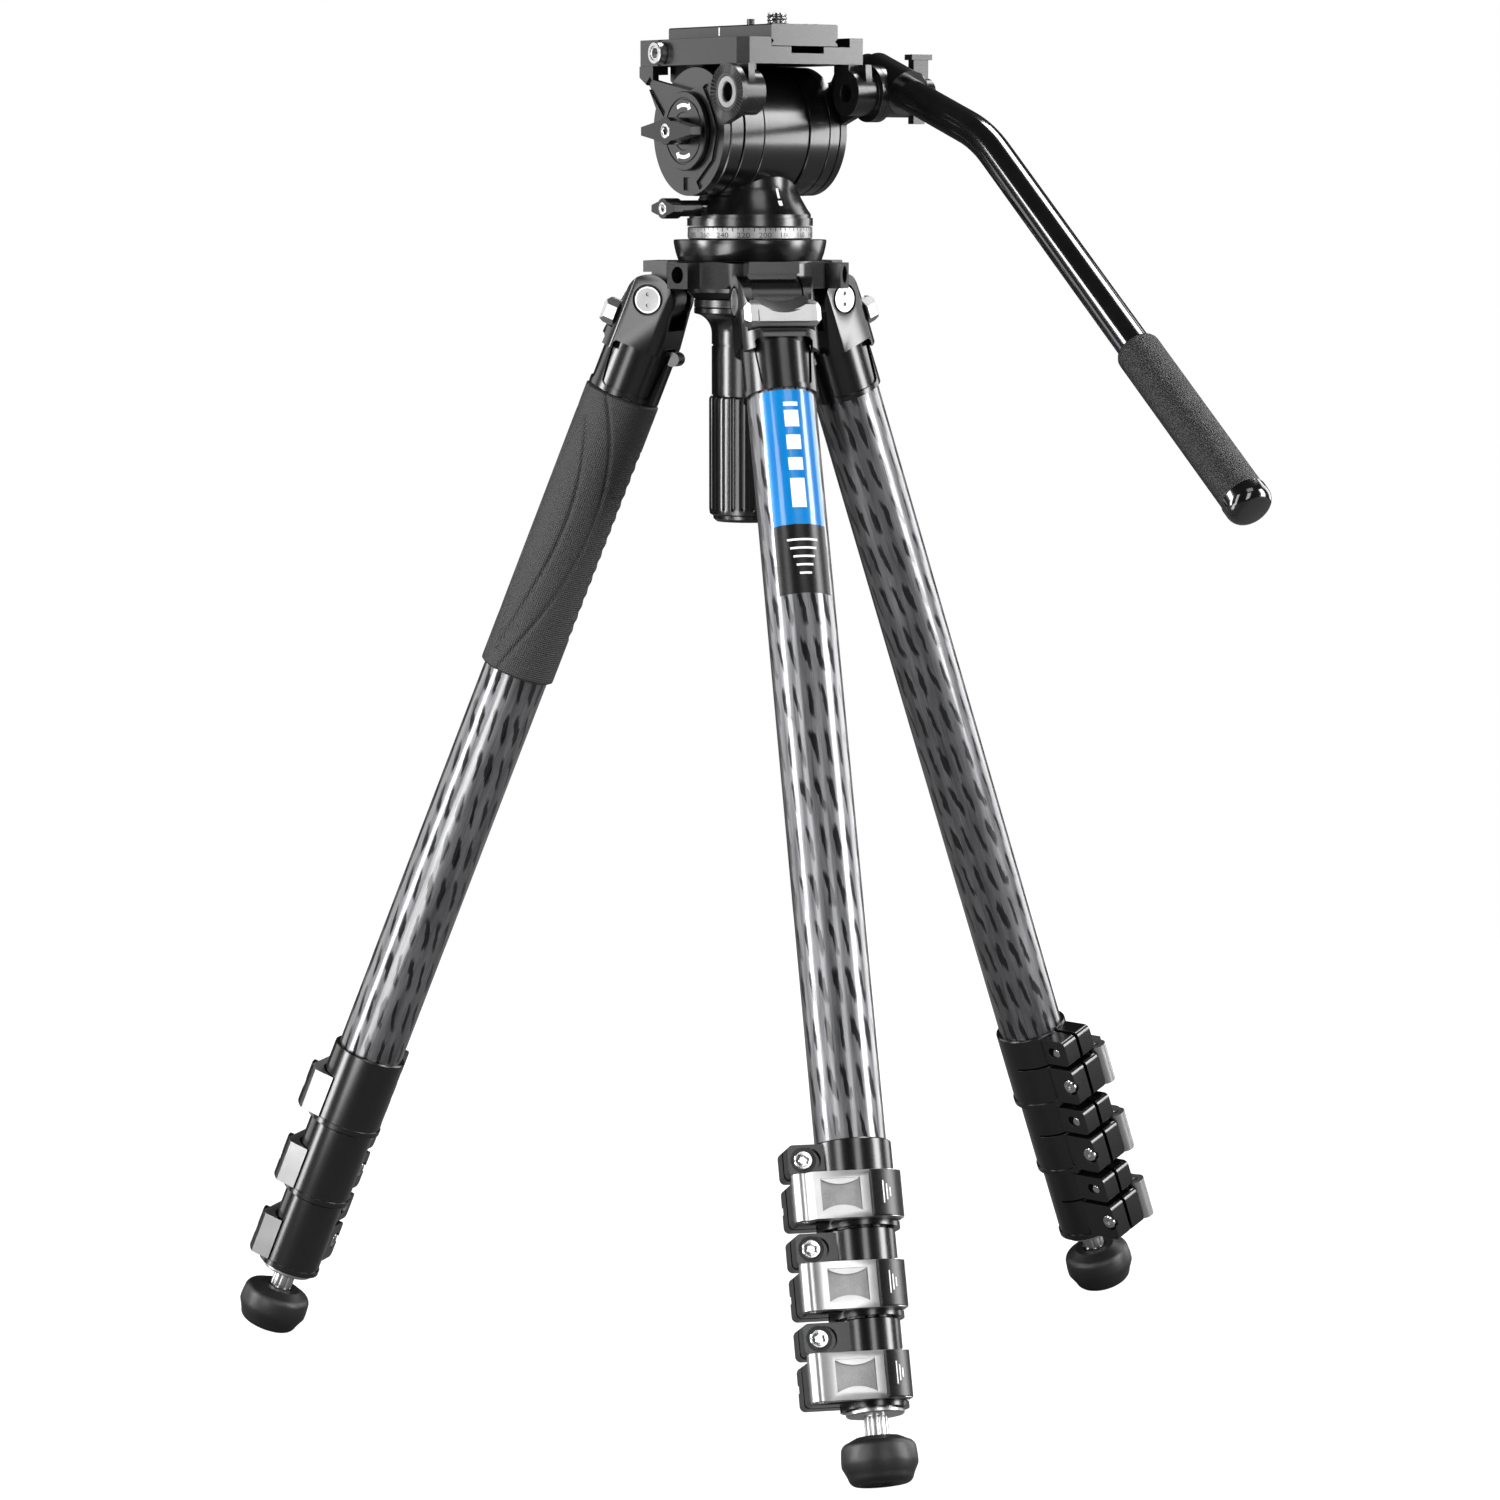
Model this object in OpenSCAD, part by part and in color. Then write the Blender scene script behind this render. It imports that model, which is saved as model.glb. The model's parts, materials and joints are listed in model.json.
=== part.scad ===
// Video tripod with a levelling bowl and a fluid head.
// Millimetres. +Z is up and the origin is on the floor under the pan axis. The lens looks
// along +Y, the operator stands at -Y, and the pan bar is on the +X side.

/* [Legs] */
// Direction of leg 1, turned from the operator's side (-Y) towards +X, in degrees
first_leg_turn = -20.8; // [-26:0.1:-16]
// Angle between each leg and the vertical at the first stop
leg_splay = 22.1; // [21:0.1:23.5]
// Distance of the leg pivots from the pan axis
pivot_radius = 45.1; // [45:0.1:46]
// Outside diameter of the uppermost carbon tube
tube_1_d = 32; // [31.6:0.1:32.4]
// Outside diameter of the second tube
tube_2_d = 28; // [27.8:0.1:28.2]
// Outside diameter of the third tube
tube_3_d = 25; // [24.9:0.05:25.1]
// Outside diameter of the lowest tube
tube_4_d = 22; // [21.8:0.1:22.2]
// Length of uppermost tube that shows between the leg root and its lock
tube_show = 351.4; // [330:0.1:370]
// Distance from one lock to the next with the leg closed
lock_pitch = 39.7; // [39.5:0.1:41]

/* [Feet] */
// Widest diameter of a rubber foot
foot_d = 34; // [30:0.5:36]
// Thickness of a rubber foot, along the leg
foot_thick = 21; // [18:0.5:23]

/* [Bowl] */
// Diameter of the half ball, a 75 mm bowl's
ball_d = 73; // [72.6:0.1:73.2]
// Height of the bowl's upper rim above the leg pivots
rim_above_pivot = 18.5; // [18:0.1:19]
// Height of the ball's centre above the rim
ball_above_rim = 13.6; // [13:0.1:14]
// Radial gap between the ball and its bowl
ball_gap = 0.3; // [0.3:0.05:0.4]

/* [Levelling handle] */
// Diameter of the handle's ribbed grip
level_grip_d = 39; // [37:0.5:39]
// Length of the ribbed grip
level_grip_len = 52; // [40:1:55]

/* [Head] */
// Height of the tilt axis above the ball's centre
tilt_above_ball = 47; // [46.5:0.1:48]
// Diameter of the tilt drum
drum_d = 60.6; // [60:0.1:61]
// Length of the tilt drum
drum_len = 62; // [61:0.5:62]
// Thickness of each side plate
side_plate_t = 3.5; // [3:0.1:3.6]
// Outside diameter of the side rosettes
rosette_d = 26.7; // [24:0.1:27]

/* [Quick release] */
// Width of the clamp, across the lens axis
clamp_w = 68.4; // [68:0.2:69]
// Length of the clamp, along the lens axis
clamp_len = 87.6; // [86:0.2:90]
// Width of the camera plate
plate_w = 37.6; // [37:0.1:38]
// Diameter of the camera screw, a 3/8 inch thread's
screw_d = 9.52; // [9.4:0.01:9.6]

/* [Pan bar] */
// Diameter of the pan bar's tube
bar_d = 15.5; // [14:0.1:16]
// Diameter of the foam grip
bar_grip_d = 20.6; // [19:0.1:22]
// Length of the foam grip
bar_grip_len = 98; // [80:1:100]
// Fall of the bar below horizontal where it leaves the clamp
bar_fall_1 = 19; // [15:0.5:22]
// Fall of the bar below horizontal after its bend
bar_fall_2 = 39.5; // [36:0.5:42]

/* [Hidden] */
$fn = 64;
eps = 0.01;
run_gap = 0.05;      // radial gap of a running fit
leg_names = ["1", "2", "3"];
leg_pieces = ["leg_root", "angle_tab", "tube_1", "collar_1", "lever_1", "tube_2", "collar_2",
              "lever_2", "tube_3", "collar_3", "lever_3", "tube_4", "foot"];
head_pieces = ["spider", "pivot_pins", "leg_sleeve", "seat_washer", "half_ball", "degree_ring",
               "level_handle", "pan_base", "pan_lever", "tilt_drum", "tilt_lever",
               "side_plate_left", "side_plate_right", "qr_clamp", "clamp_knob", "qr_plate",
               "camera_screw", "bar_clamp", "pan_bar", "bar_grip", "bar_knob"];

// distances down the leg, from the pivot
root_end = 48;                                  // lower edge of the leg root
root_r = tube_1_d / 2 + 1.6;
lock_1 = root_end + tube_show;                  // upper edge of the first lock
lock_h = lock_pitch - 0.5;
foot_mid = lock_1 + 3 * lock_pitch + 21.8;
foot_tip_r = foot_d / 2 - 6;
foot_low = foot_thick / 2 * cos(leg_splay) + foot_tip_r * sin(leg_splay);
pivot_z = foot_mid * cos(leg_splay) + foot_low;
tube_r = [tube_1_d, tube_2_d, tube_3_d, tube_4_d] / 2;
tube_wall = [1.6, 1.2, 1.2, 1.3];
tube_top = [21, 60, 66, 72];
collar_r = [for (k = [0:2]) tube_r[k] + (k == 0 ? 2 : 2.2)];
bush_len = 25;                                  // guide bush at the top of an inner tube
bush_gap = 0.1;
stud_r = 5.3;                                   // foot stud
stud_in = 6;                                    // depth of the stud in the foot

// fork of the leg root and its lug on the spider
lug_half = 12;
fork_gap = 0.3;
cheek_r = 12;
cheek_out = 18;
fork_floor = 11;
pin_r = 4;
pin_head_r = 6.35;
barrel_r = 10.5;                                // the lug's barrel, around the pivot pin
lip_h = 5.4;                                    // height of the plate's lip over the barrel
tab_half = 18.2;
tab_top = 6;
tab_h = 12.6;
tab_in = 12.6;
tab_out = 20.2;
scoop_r = 26.7;                                 // hollow for the thumb on the tab

// flip lock
lug_reach = 31.4;
lug_y = 10;
lever_h = 21;
lever_top = 15.6;
lever_pivot = [-27.4, -15];                      // across and outward from the leg's axis
knuckle_r = 4.6;
slit = 2;

// bowl and ball
rim_z = pivot_z + rim_above_pivot;
ball_z = rim_z + ball_above_rim;
ball_r = ball_d / 2;
bowl_r = ball_r + ball_gap;
seat_r = bowl_r + 4.2;                          // the bowl's outer sphere, under the ball
washer_t = 3;
plate_h = 12.8;                                 // height of the spider's plate
ball_top = ball_z - 3.7;
bolt_r = 6;                                     // stud of the levelling handle
handle_bottom = ball_top - 133.3;

// head
pan_z = ball_top + 6.4;                         // under side of the turning base
tilt_z = ball_z + tilt_above_ball;
drum_r = drum_d / 2;
spindle_r = 12;
column_r = 21.7;
trunnion_r = 8;
plate_in = drum_len / 2 + 0.25;
plate_out = plate_in + side_plate_t;
dial_r = 18.5;
lever_stud_r = 3;
pan_lever_z = pan_z + 8.3;
clamp_z = tilt_z + 30.7;
clamp_top = clamp_z + 12.3;
clamp_floor = clamp_z + 8;
rosette_y = -41.5;
rosette_z = tilt_z + 17.5;
boss_r = 10.6;
boss_in = 26;
boss_out = 38;
rosette_t = 3;

// camera plate
plate_x = 1.4;
plate_base = clamp_floor + 0.3;
plate_top = clamp_top + 6.1;
screw_y = -20.5;
thread_len = 5;                                 // thread that stands above the plate
screw_head_r = 7.6;
knob_y = 24.2;
knob_z = clamp_z + 6;

// pan bar, in the plane of its own axis
bar_x = 51;
bar_r = bar_d / 2;
bar_start = [-22, rosette_z + 11.9];            // y and z of the bar's front end
bar_run_1 = 86;
bar_bend_r = 70;
bar_wall = 1.5;
bar_run_2 = 234;
bar_cap = 9;

function leg_turn(i) = first_leg_turn - 120 * i;

// ---- helpers ----

module in_leg(i) {
    rotate([0, 0, leg_turn(i)]) translate([0, -pivot_radius, pivot_z]) rotate([-leg_splay, 0, 0])
        children();
}

// a cylinder down the leg from distance t0 to t1
module down(t0, t1, r) translate([0, 0, -t1]) cylinder(r = r, h = t1 - t0);

// a cylinder along X from x0 to x1
module across(x0, x1, r, y = 0, z = 0)
    translate([x0, y, z]) rotate([0, 90, 0]) cylinder(r = r, h = x1 - x0);

// a profile drawn in y and z, made solid from x0 to x1
module slab(x0, x1) translate([x0, 0, 0]) rotate([90, 0, 90]) linear_extrude(x1 - x0) children();

// a rectangle with round corners, its lower left corner at 0
module round_rect(w, h, r) {
    translate([r, 0]) square([w - 2 * r, h]);
    translate([0, r]) square([w, h - 2 * r]);
    for (x = [r, w - r], y = [r, h - r]) translate([x, y]) circle(r = r);
}

// a flat strip of half width w that follows the points p
module band(p, w) {
    last = len(p) - 1;
    way = [for (i = [0:last]) p[min(i + 1, last)] - p[max(i - 1, 0)]];
    side = [for (d = way) [-d[1], d[0]] / norm(d) * w];
    polygon(concat([for (i = [0:last]) p[i] + side[i]], [for (i = [last:-1:0]) p[i] - side[i]]));
}

// ---- spider and bowl ----

module spider_lug() {
    slab(-lug_half, lug_half) {
        translate([-pivot_radius, pivot_z]) circle(r = barrel_r);
        translate([-pivot_radius, pivot_z]) square([9.2, rim_above_pivot]);
        translate([-pivot_radius - 4.2, rim_z - lip_h]) square([13.4, lip_h]);
    }
}

module accessory_block() {
    translate([-7, -46.6, rim_z - plate_h]) cube([14, 14, plate_h - 0.8]);
}

module spider() {
    color([0.12, 0.12, 0.13]) difference() {
        union() {
            translate([0, 0, rim_z - plate_h]) cylinder(r = 39.5, h = plate_h - 1);
            translate([0, 0, rim_z - 1]) cylinder(r1 = 39.5, r2 = 38.5, h = 1);
            intersection() {
                translate([0, 0, rim_z - 26]) cylinder(r1 = 27, r2 = 33, h = 26);
                translate([0, 0, ball_z]) sphere(r = seat_r);
            }
            for (i = [0:2]) {
                rotate([0, 0, leg_turn(i)]) spider_lug();
                rotate([0, 0, leg_turn(i) - 60]) accessory_block();
            }
        }
        translate([0, 0, ball_z]) sphere(r = bowl_r);
        translate([0, 0, rim_z - 40]) cylinder(r = 15.5, h = 40);
        for (i = [0:2], s = [-1, 1]) rotate([0, 0, leg_turn(i) + s * 38.5])
            translate([-8, -60, rim_z - plate_h - 1]) cube([16, 21.3, plate_h + 2]);
        for (i = [0:2]) {
            rotate([0, 0, leg_turn(i)]) {
                across(-lug_half - 1, lug_half + 1, pin_r + run_gap / 2, -pivot_radius, pivot_z);
                for (s = [-1, 1]) cheek_notch(s);
            }
            rotate([0, 0, leg_turn(i) - 60]) translate([0, -37.6, rim_z - plate_h / 2])
                rotate([90, 0, 0]) cylinder(r = 4, h = 10);
        }
    }
}

// room for one cheek of a fork to swing past the plate
module cheek_notch(side) {
    x0 = side > 0 ? lug_half : -cheek_out - 2;
    across(x0, x0 + cheek_out + 2 - lug_half, cheek_r + 0.6, -pivot_radius, pivot_z);
}

module pivot_pins() {
    color("silver") for (i = [0:2]) rotate([0, 0, leg_turn(i)]) difference() {
        union() {
            across(-cheek_out + 1.5, cheek_out - 1.5, pin_r, -pivot_radius, pivot_z);
            for (s = [-1, 1]) {
                x0 = s > 0 ? cheek_out - 1.5 : -cheek_out;
                across(x0, x0 + 1.5, pin_head_r, -pivot_radius, pivot_z);
            }
        }
        for (s = [-1, 1], dz = [-2.6, 2.6])
            across(s * cheek_out - 0.8, s * cheek_out + 0.8, 0.85, -pivot_radius, pivot_z + dz);
    }
}

module seat_washer() {
    color([0.2, 0.2, 0.21]) intersection() {
        difference() {
            translate([0, 0, ball_z]) sphere(r = seat_r + ball_gap + washer_t);
            translate([0, 0, ball_z]) sphere(r = seat_r + ball_gap);
            translate([0, 0, ball_z - 60]) cylinder(r = 14, h = 60);
        }
        translate([0, 0, ball_z - 60]) cylinder(r = 26.5, h = 60);
    }
}

module half_ball() {
    color([0.07, 0.07, 0.08]) {
        intersection() {
            translate([0, 0, ball_z]) sphere(r = ball_r);
            translate([0, 0, ball_z - 32]) cylinder(r = 50, h = 32 - (ball_z - ball_top));
        }
        translate([0, 0, ball_z - 92]) cylinder(r = bolt_r, h = 62);
        translate([0, 0, ball_top - eps]) cylinder(r = spindle_r, h = pan_z + 6 - ball_top);
    }
}

module degree_ring() {
    color("gainsboro") translate([0, 0, ball_top + 0.3]) difference() {
        cylinder(r = 29.5, h = 5.8);
        translate([0, 0, -1]) cylinder(r = spindle_r + run_gap, h = 8);
    }
}

module level_handle() {
    top_z = ball_z - sqrt(pow(seat_r + 2 * ball_gap + washer_t, 2) - 26.5 * 26.5);
    neck_z = top_z - 12.5;
    grip_z = handle_bottom + 3 + level_grip_len;
    color([0.1, 0.1, 0.11]) difference() {
        union() {
            rotate_extrude() difference() {
                polygon([[0, handle_bottom], [16, handle_bottom], [17.6, handle_bottom + 1.6],
                         [17.6, handle_bottom + 3], [18.25, handle_bottom + 3], [18.25, neck_z],
                         [26.5, top_z - 2.4], [26.5, top_z], [0, top_z]]);
                translate([18.25 + 9.5, neck_z + 0.6]) circle(r = 9.5);
                translate([17.6, neck_z - 5.5]) square([2, 0.8]);
            }
            translate([0, 0, handle_bottom + 3]) cylinder(r = level_grip_d / 2, h = level_grip_len);
        }
        translate([0, 0, ball_z]) sphere(r = seat_r + 2 * ball_gap + washer_t);
        translate([0, 0, ball_z - 94]) cylinder(r = bolt_r + run_gap, h = 60);
        for (a = [0:15:345]) rotate([0, 0, a]) translate([level_grip_d / 2 + 0.5, 0, handle_bottom + 6])
            cylinder(r = 1.2, h = level_grip_len - 6);
        translate([0, 0, grip_z]) difference() {
            cylinder(r = 30, h = 0.6);
            cylinder(r = 17.7, h = 0.6);
        }
    }
}

// ---- legs ----

module root_profile() {
    circle(r = cheek_r);
    polygon([[-cheek_r, 0], [-root_r, -22], [-root_r, -28], [root_r - 3, -28], [root_r - 3, -20],
             [cheek_r, -2]]);
}

module root_window() {
    rotate([90, 0, 0]) linear_extrude(30) polygon([[-12.6, -23.6], [12.6, -23.6], [13.8, -24.8],
        [12, -44.4], [10.6, -45.6], [-10.6, -45.6], [-12, -44.4], [-13.8, -24.8]]);
}

module leg_root() {
    fork = lug_half + fork_gap;
    color([0.1, 0.1, 0.11]) difference() {
        union() {
            intersection() {
                slab(-cheek_out, cheek_out) root_profile();
                down(-cheek_r - 1, root_end, 20.2);
            }
            down(22.4, root_end, root_r);
            across(-5, 5, 3.4, root_r + 0.4, -23.5);
        }
        down(fork_floor + 9, root_end + 1, tube_r[0] + run_gap / 2);
        translate([-fork, -30, -fork_floor]) cube([2 * fork, 60, 60]);
        across(-30, 30, pin_r + run_gap);
        for (s = [-1, 1]) across(s > 0 ? cheek_out - 1.7 : -cheek_out - 5, s > 0 ? cheek_out + 5
                                 : -cheek_out + 1.7, pin_head_r + 1.1);
        translate([-30, -40, -tab_top - tab_h - 0.6]) cube([60, 40 - tab_in + 0.3, tab_h + 1.2]);
        translate([-fork, -30, -13.6]) cube([2 * fork, 30, 8]);
        for (a = [0, 108, -108]) rotate([0, 0, a]) difference() {
            root_window();
            down(0, 60, root_r - 0.8);
        }
    }
}

module angle_tab() {
    low = -tab_top - tab_h;
    color("silver") difference() {
        union() {
            slab(-tab_half, tab_half) polygon([[-tab_in, -tab_top], [-tab_out + 2, -tab_top],
                [-tab_out, -tab_top - 3], [-tab_out, low + 1.6], [-tab_out + 2.4, low], [-tab_in, low]]);
            slab(-12.2, 12.2) polygon([[-tab_in, 3.6 - tab_top], [-tab_in - 2.2, 3.6 - tab_top],
                [-tab_out + 0.6, -tab_top - 2], [-tab_in, -tab_top - 2]]);
            translate([-12, -tab_out - 1.3, low + 1]) cube([24, 3, 6]);
            translate([-lug_half + 0.2, -tab_in - 1, -13.2]) cube([2 * lug_half - 0.4, 4, 7.2]);
        }
        for (s = [-1, 1]) {
            for (z = [-tab_top, low]) translate([s * tab_half, 0, z]) rotate([0, 45, 0])
                cube([4.6, 80, 4.6], center = true);
            translate([s * tab_half, -tab_out - 1, -30]) rotate([0, 0, 45]) cube([5, 5, 60], center = true);
        }
        translate([0, -tab_out - 15.5, 10.1]) rotate([-45, 0, 0])
            cylinder(r = scoop_r, h = 80, center = true);
    }
}

module tube(k) {
    r = tube_r[k];
    last = k == 3;
    bottom = last ? lock_1 + 3 * lock_pitch - 2 : lock_1 + k * lock_pitch + 15.4;
    color([0.25, 0.25, 0.26]) {
        difference() {
            union() {
                down(tube_top[k], bottom, r);
                if (k > 0) down(tube_top[k], tube_top[k] + bush_len,
                                tube_r[k - 1] - tube_wall[k - 1] - bush_gap);
            }
            down(tube_top[k] - 1, last ? bottom - 12 : bottom + 1, r - tube_wall[k]);
        }
        if (last) {
            down(bottom - eps, bottom + 1.6, r - 0.6);
            down(bottom + 1.5, bottom + 3.5, 13);
            down(bottom + 3.4, foot_mid - foot_thick / 2 + stud_in - 0.2, stud_r);
        }
    }
}

// the two lugs of one half of a lock, from s0 to s1 below the lock's upper edge
module lock_lug(s0, s1, r) {
    translate([-lug_reach, lug_y, -s1]) rotate([90, 0, 0]) linear_extrude(2 * lug_y)
        round_rect(lug_reach - 8, s1 - s0, 2.6);
}

module collar(k) {
    r_up = tube_r[k];
    r_low = tube_r[k + 1];
    r = collar_r[k];
    color([0.08, 0.08, 0.09]) translate([0, 0, -lock_1 - k * lock_pitch]) difference() {
        union() {
            down(0.6, lock_h - 2.6, r);
            translate([0, 0, -0.6]) cylinder(r1 = r, r2 = r - 0.6, h = 0.6);
            down(lock_h - 2.6, lock_h, r + 0.6);
            lock_lug(1, 15, r);
            lock_lug(17.4, 37, r);
        }
        down(-1, 15.6, r_up + run_gap / 2);
        down(15, lock_h + 1, r_low + run_gap);
        translate([-40, -30, -17]) cube([38, 60, 1]);
        translate([-40, -slit / 2, -lock_h - 1]) cube([40, slit, lock_h + 2]);
        translate([-22, 0, -8]) rotate([90, 0, 0]) {
            cylinder(r = 2.2, h = 60, center = true);
            translate([0, 0, lug_y - 2.2]) cylinder(r = 5.5, h = 10);
            translate([0, 0, -lug_y - 10]) cylinder(r = 2.8, h = 11.5);
        }
        translate([lever_pivot[0], 0, -27.2]) rotate([90, 0, 0]) {
            cylinder(r = 2.2, h = 60, center = true);
            translate([0, 0, -lug_y - 10]) cylinder(r = 4.3, h = 12);
        }
    }
}

module lever_plan(r) {
    front = -r - 4.4;
    x = lever_pivot[0];
    difference() {
        union() {
            translate(lever_pivot) circle(r = knuckle_r);
            polygon([[x + 0.6, lever_pivot[1] - knuckle_r], [x + 3.6, front], [8, front],
                     [8, -r], [x, -r + 1.4], [x, lever_pivot[1]]]);
            intersection() {
                circle(r = r + 6.6);
                translate([-8, front]) square([r + 7, r - 2.6]);
            }
        }
        circle(r = r + 0.8);
        translate([x + 1, -lug_y - 0.6]) square([40, 20]);
    }
}

module lever(k) {
    r = collar_r[k];
    x = lever_pivot[0];
    color("silver") translate([0, 0, -lock_1 - k * lock_pitch - lever_top - lever_h]) difference() {
        linear_extrude(lever_h) lever_plan(r);
        translate([x, lever_pivot[1], -1]) cylinder(r = 1.55, h = 40);
        translate([x + 6.6, -r - 14.4, 3.2]) cube([18, 11.6, lever_h - 6.4]);
    }
}

module foot() {
    h = foot_thick / 2;
    w = foot_d / 2;
    color([0.06, 0.06, 0.06]) translate([0, 0, -foot_mid]) difference() {
        rotate_extrude() polygon([[0, -h], [foot_tip_r, -h], [w - 2.4, -h + 4.2], [w, -2.2],
                                  [w, 2.2], [w - 3.6, h - 2], [w - 7, h], [0, h]]);
        translate([0, 0, h - stud_in]) cylinder(r = stud_r + run_gap / 2, h = stud_in + 1);
        translate([0, 0, -h - 1]) cylinder(r = 3.2, h = 2.6);
    }
}

module leg_sleeve() {
    in_leg(1) color([0.15, 0.15, 0.15]) difference() {
        down(root_end + 0.6, 194, tube_r[0] + 2.3);
        down(root_end, 200, tube_r[0] + run_gap / 2);
    }
}

// ---- head ----

module pan_base() {
    color([0.05, 0.05, 0.06]) difference() {
        union() {
            translate([0, 0, pan_z]) cylinder(r = 29.75, h = 3.7);
            translate([0, 0, pan_z]) rotate_extrude() polygon([[0, 3.6], [28.8, 3.6], [28.8, 5.4],
                [26.8, 8.4], [24.2, 13], [22.2, 18], [column_r, 23], [column_r, 43], [0, 43]]);
            across(-47, -15, 2.5, 0, pan_lever_z);
            across(-29.2, -15, 3.8, 0, pan_lever_z);
        }
        across(-60, 60, drum_r + run_gap, 0, tilt_z);
        translate([0, 0, pan_z - 1]) cylinder(r = spindle_r + run_gap, h = 8.2);
    }
}

module wing(x0, x1, hub_r, reach, root_t, tip_t, z) {
    across(x0, x1, hub_r, 0, z);
    translate([x0, 0, z]) rotate([0, 90, 0]) linear_extrude((x1 - x0) * 0.62)
        polygon([[root_t, -hub_r], [tip_t, -reach], [-tip_t, -reach], [-root_t, -hub_r],
                 [-root_t, hub_r], [-tip_t, reach], [tip_t, reach], [root_t, hub_r]]);
}

module pan_lever() {
    color([0.08, 0.08, 0.08]) difference() {
        union() {
            wing(-49.4, -41, 4.8, 9.6, 3, 1.6, pan_lever_z);
            across(-41.1, -29.4, 3.8, 0, pan_lever_z);
        }
        across(-60, -20, 2.5 + run_gap, 0, pan_lever_z);
    }
}

module tilt_drum() {
    color([0.06, 0.06, 0.07]) difference() {
        union() {
            across(-drum_len / 2, drum_len / 2, drum_r, 0, tilt_z);
            across(-plate_out - 0.25, plate_out + 0.25, trunnion_r, 0, tilt_z);
            across(-plate_out - 2.8, -plate_out - 0.2, dial_r, 0, tilt_z);
            across(plate_out + 0.2, plate_out + 1.8, 12, 0, tilt_z);
            across(-47, -30, lever_stud_r, 0, tilt_z);
        }
        for (g = [[-23.4, 1.1], [-12, 0.5], [13.2, 1.6], [25, 0.5]])
            translate([g[0] - g[1] / 2, 0, tilt_z]) rotate([0, 90, 0]) difference() {
                cylinder(r = drum_r + 2, h = g[1]);
                cylinder(r = drum_r - 0.9, h = g[1]);
            }
    }
}

module tilt_lever() {
    color([0.08, 0.08, 0.08]) difference() {
        wing(-47.8, -plate_out - 3.1, 6.4, 21, 4.6, 2, tilt_z);
        across(-60, -30, lever_stud_r + run_gap, 0, tilt_z);
    }
}

// outline of a side plate in y and z, the tilt axis at 0
module side_outline() {
    top = clamp_z - tilt_z;
    vee = [[-22, top - 7.3], [-1, top - 11.9], [30.7, top - 6.4]];
    difference() {
        circle(r = 30.2);
        polygon(concat([[-24, 40]], vee, [[34, 40]]));
    }
    polygon(concat([[42.4, top], [42.4, top - 5.2], [35, top - 9.5], [23, 3], [-24, 2], [-30, 3],
                    [-47.6, 9], [-51.5, 17], [-50, top], [-27, top]], vee, [[30.7, top]]));
}

module side_pockets() {
    band([[35, 24.2], [17.5, 6.4]], 2.4);
    band([[-14, 21.4], [-20.5, 12], [-26, 0], [-21.4, -15], [-8, -25.6]], 2.4);
    translate([-1, -27.6]) square([5.4, 6]);
}

module side_plate() {
    difference() {
        union() {
            translate([0, 0, tilt_z]) slab(plate_in, plate_out) side_outline();
            across(boss_in, boss_out, boss_r, rosette_y, rosette_z);
            across(boss_out, boss_out + rosette_t, rosette_d / 2, rosette_y, rosette_z);
            translate([boss_in, -43.8, rosette_z]) cube([plate_out - boss_in, 12, clamp_z - rosette_z]);
            translate([boss_in, 30.7, clamp_z - 4]) cube([plate_out - boss_in, 11.7, 4]);
        }
        across(plate_in - 1, plate_out + 1, trunnion_r + run_gap, 0, tilt_z);
        across(boss_in - 1, boss_out + 10, 4.25, rosette_y, rosette_z);
        across(boss_out + rosette_t - 1.2, boss_out + 10, 7.6, rosette_y, rosette_z);
        translate([0, 0, tilt_z]) slab(plate_out - 1.2, plate_out + 1) side_pockets();
        across(plate_in - 20, plate_in, drum_r + 0.3, 0, tilt_z);
    }
}

module side_plate_left() color([0.13, 0.13, 0.14]) mirror([1, 0, 0]) side_plate();

module side_plate_right() color([0.13, 0.13, 0.14]) side_plate();

module qr_clamp() {
    w = clamp_w / 2;
    l = clamp_len / 2;
    left = plate_x - plate_w / 2 - 0.15;
    color([0.12, 0.12, 0.13]) difference() {
        union() {
            translate([0, 0, clamp_z]) linear_extrude(clamp_top - clamp_z)
                polygon([[-w, -l + 4.4], [-w + 4.4, -l], [w, -l], [w, l - 1.5], [w - 1.5, l],
                         [-w + 1.5, l], [-w, l - 1.5]]);
            difference() {
                translate([0, 0, tilt_z]) slab(-24, 24) polygon([[32, 31], [32, 24], [22, 17],
                                                                 [0, 24], [0, 31]]);
                across(-40, 40, drum_r + 0.5, 0, tilt_z);
            }
        }
        translate([left, -l - 1, clamp_floor]) cube([26.6 - left, clamp_len + 2, 20]);
        translate([-6.3, -l - 1, clamp_floor - 3]) cube([18.2, clamp_len + 2, 20]);
        across(-w - 1, -w + 9, 2.5 + run_gap, knob_y, knob_z);
        across(-w - 1, -w + 0.8, 6.2, knob_y, knob_z);
    }
}

module clamp_knob() {
    w = clamp_w / 2;
    color("silver") difference() {
        union() {
            across(-w - 4.2, -w + 0.6, 5.3, knob_y, knob_z);
            across(-w + 0.5, -w + 8, 2.5, knob_y, knob_z);
        }
        translate([-w - 5, knob_y, knob_z]) rotate([0, 90, 0]) cylinder(r = 2.6, h = 3.6, $fn = 6);
    }
}

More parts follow.
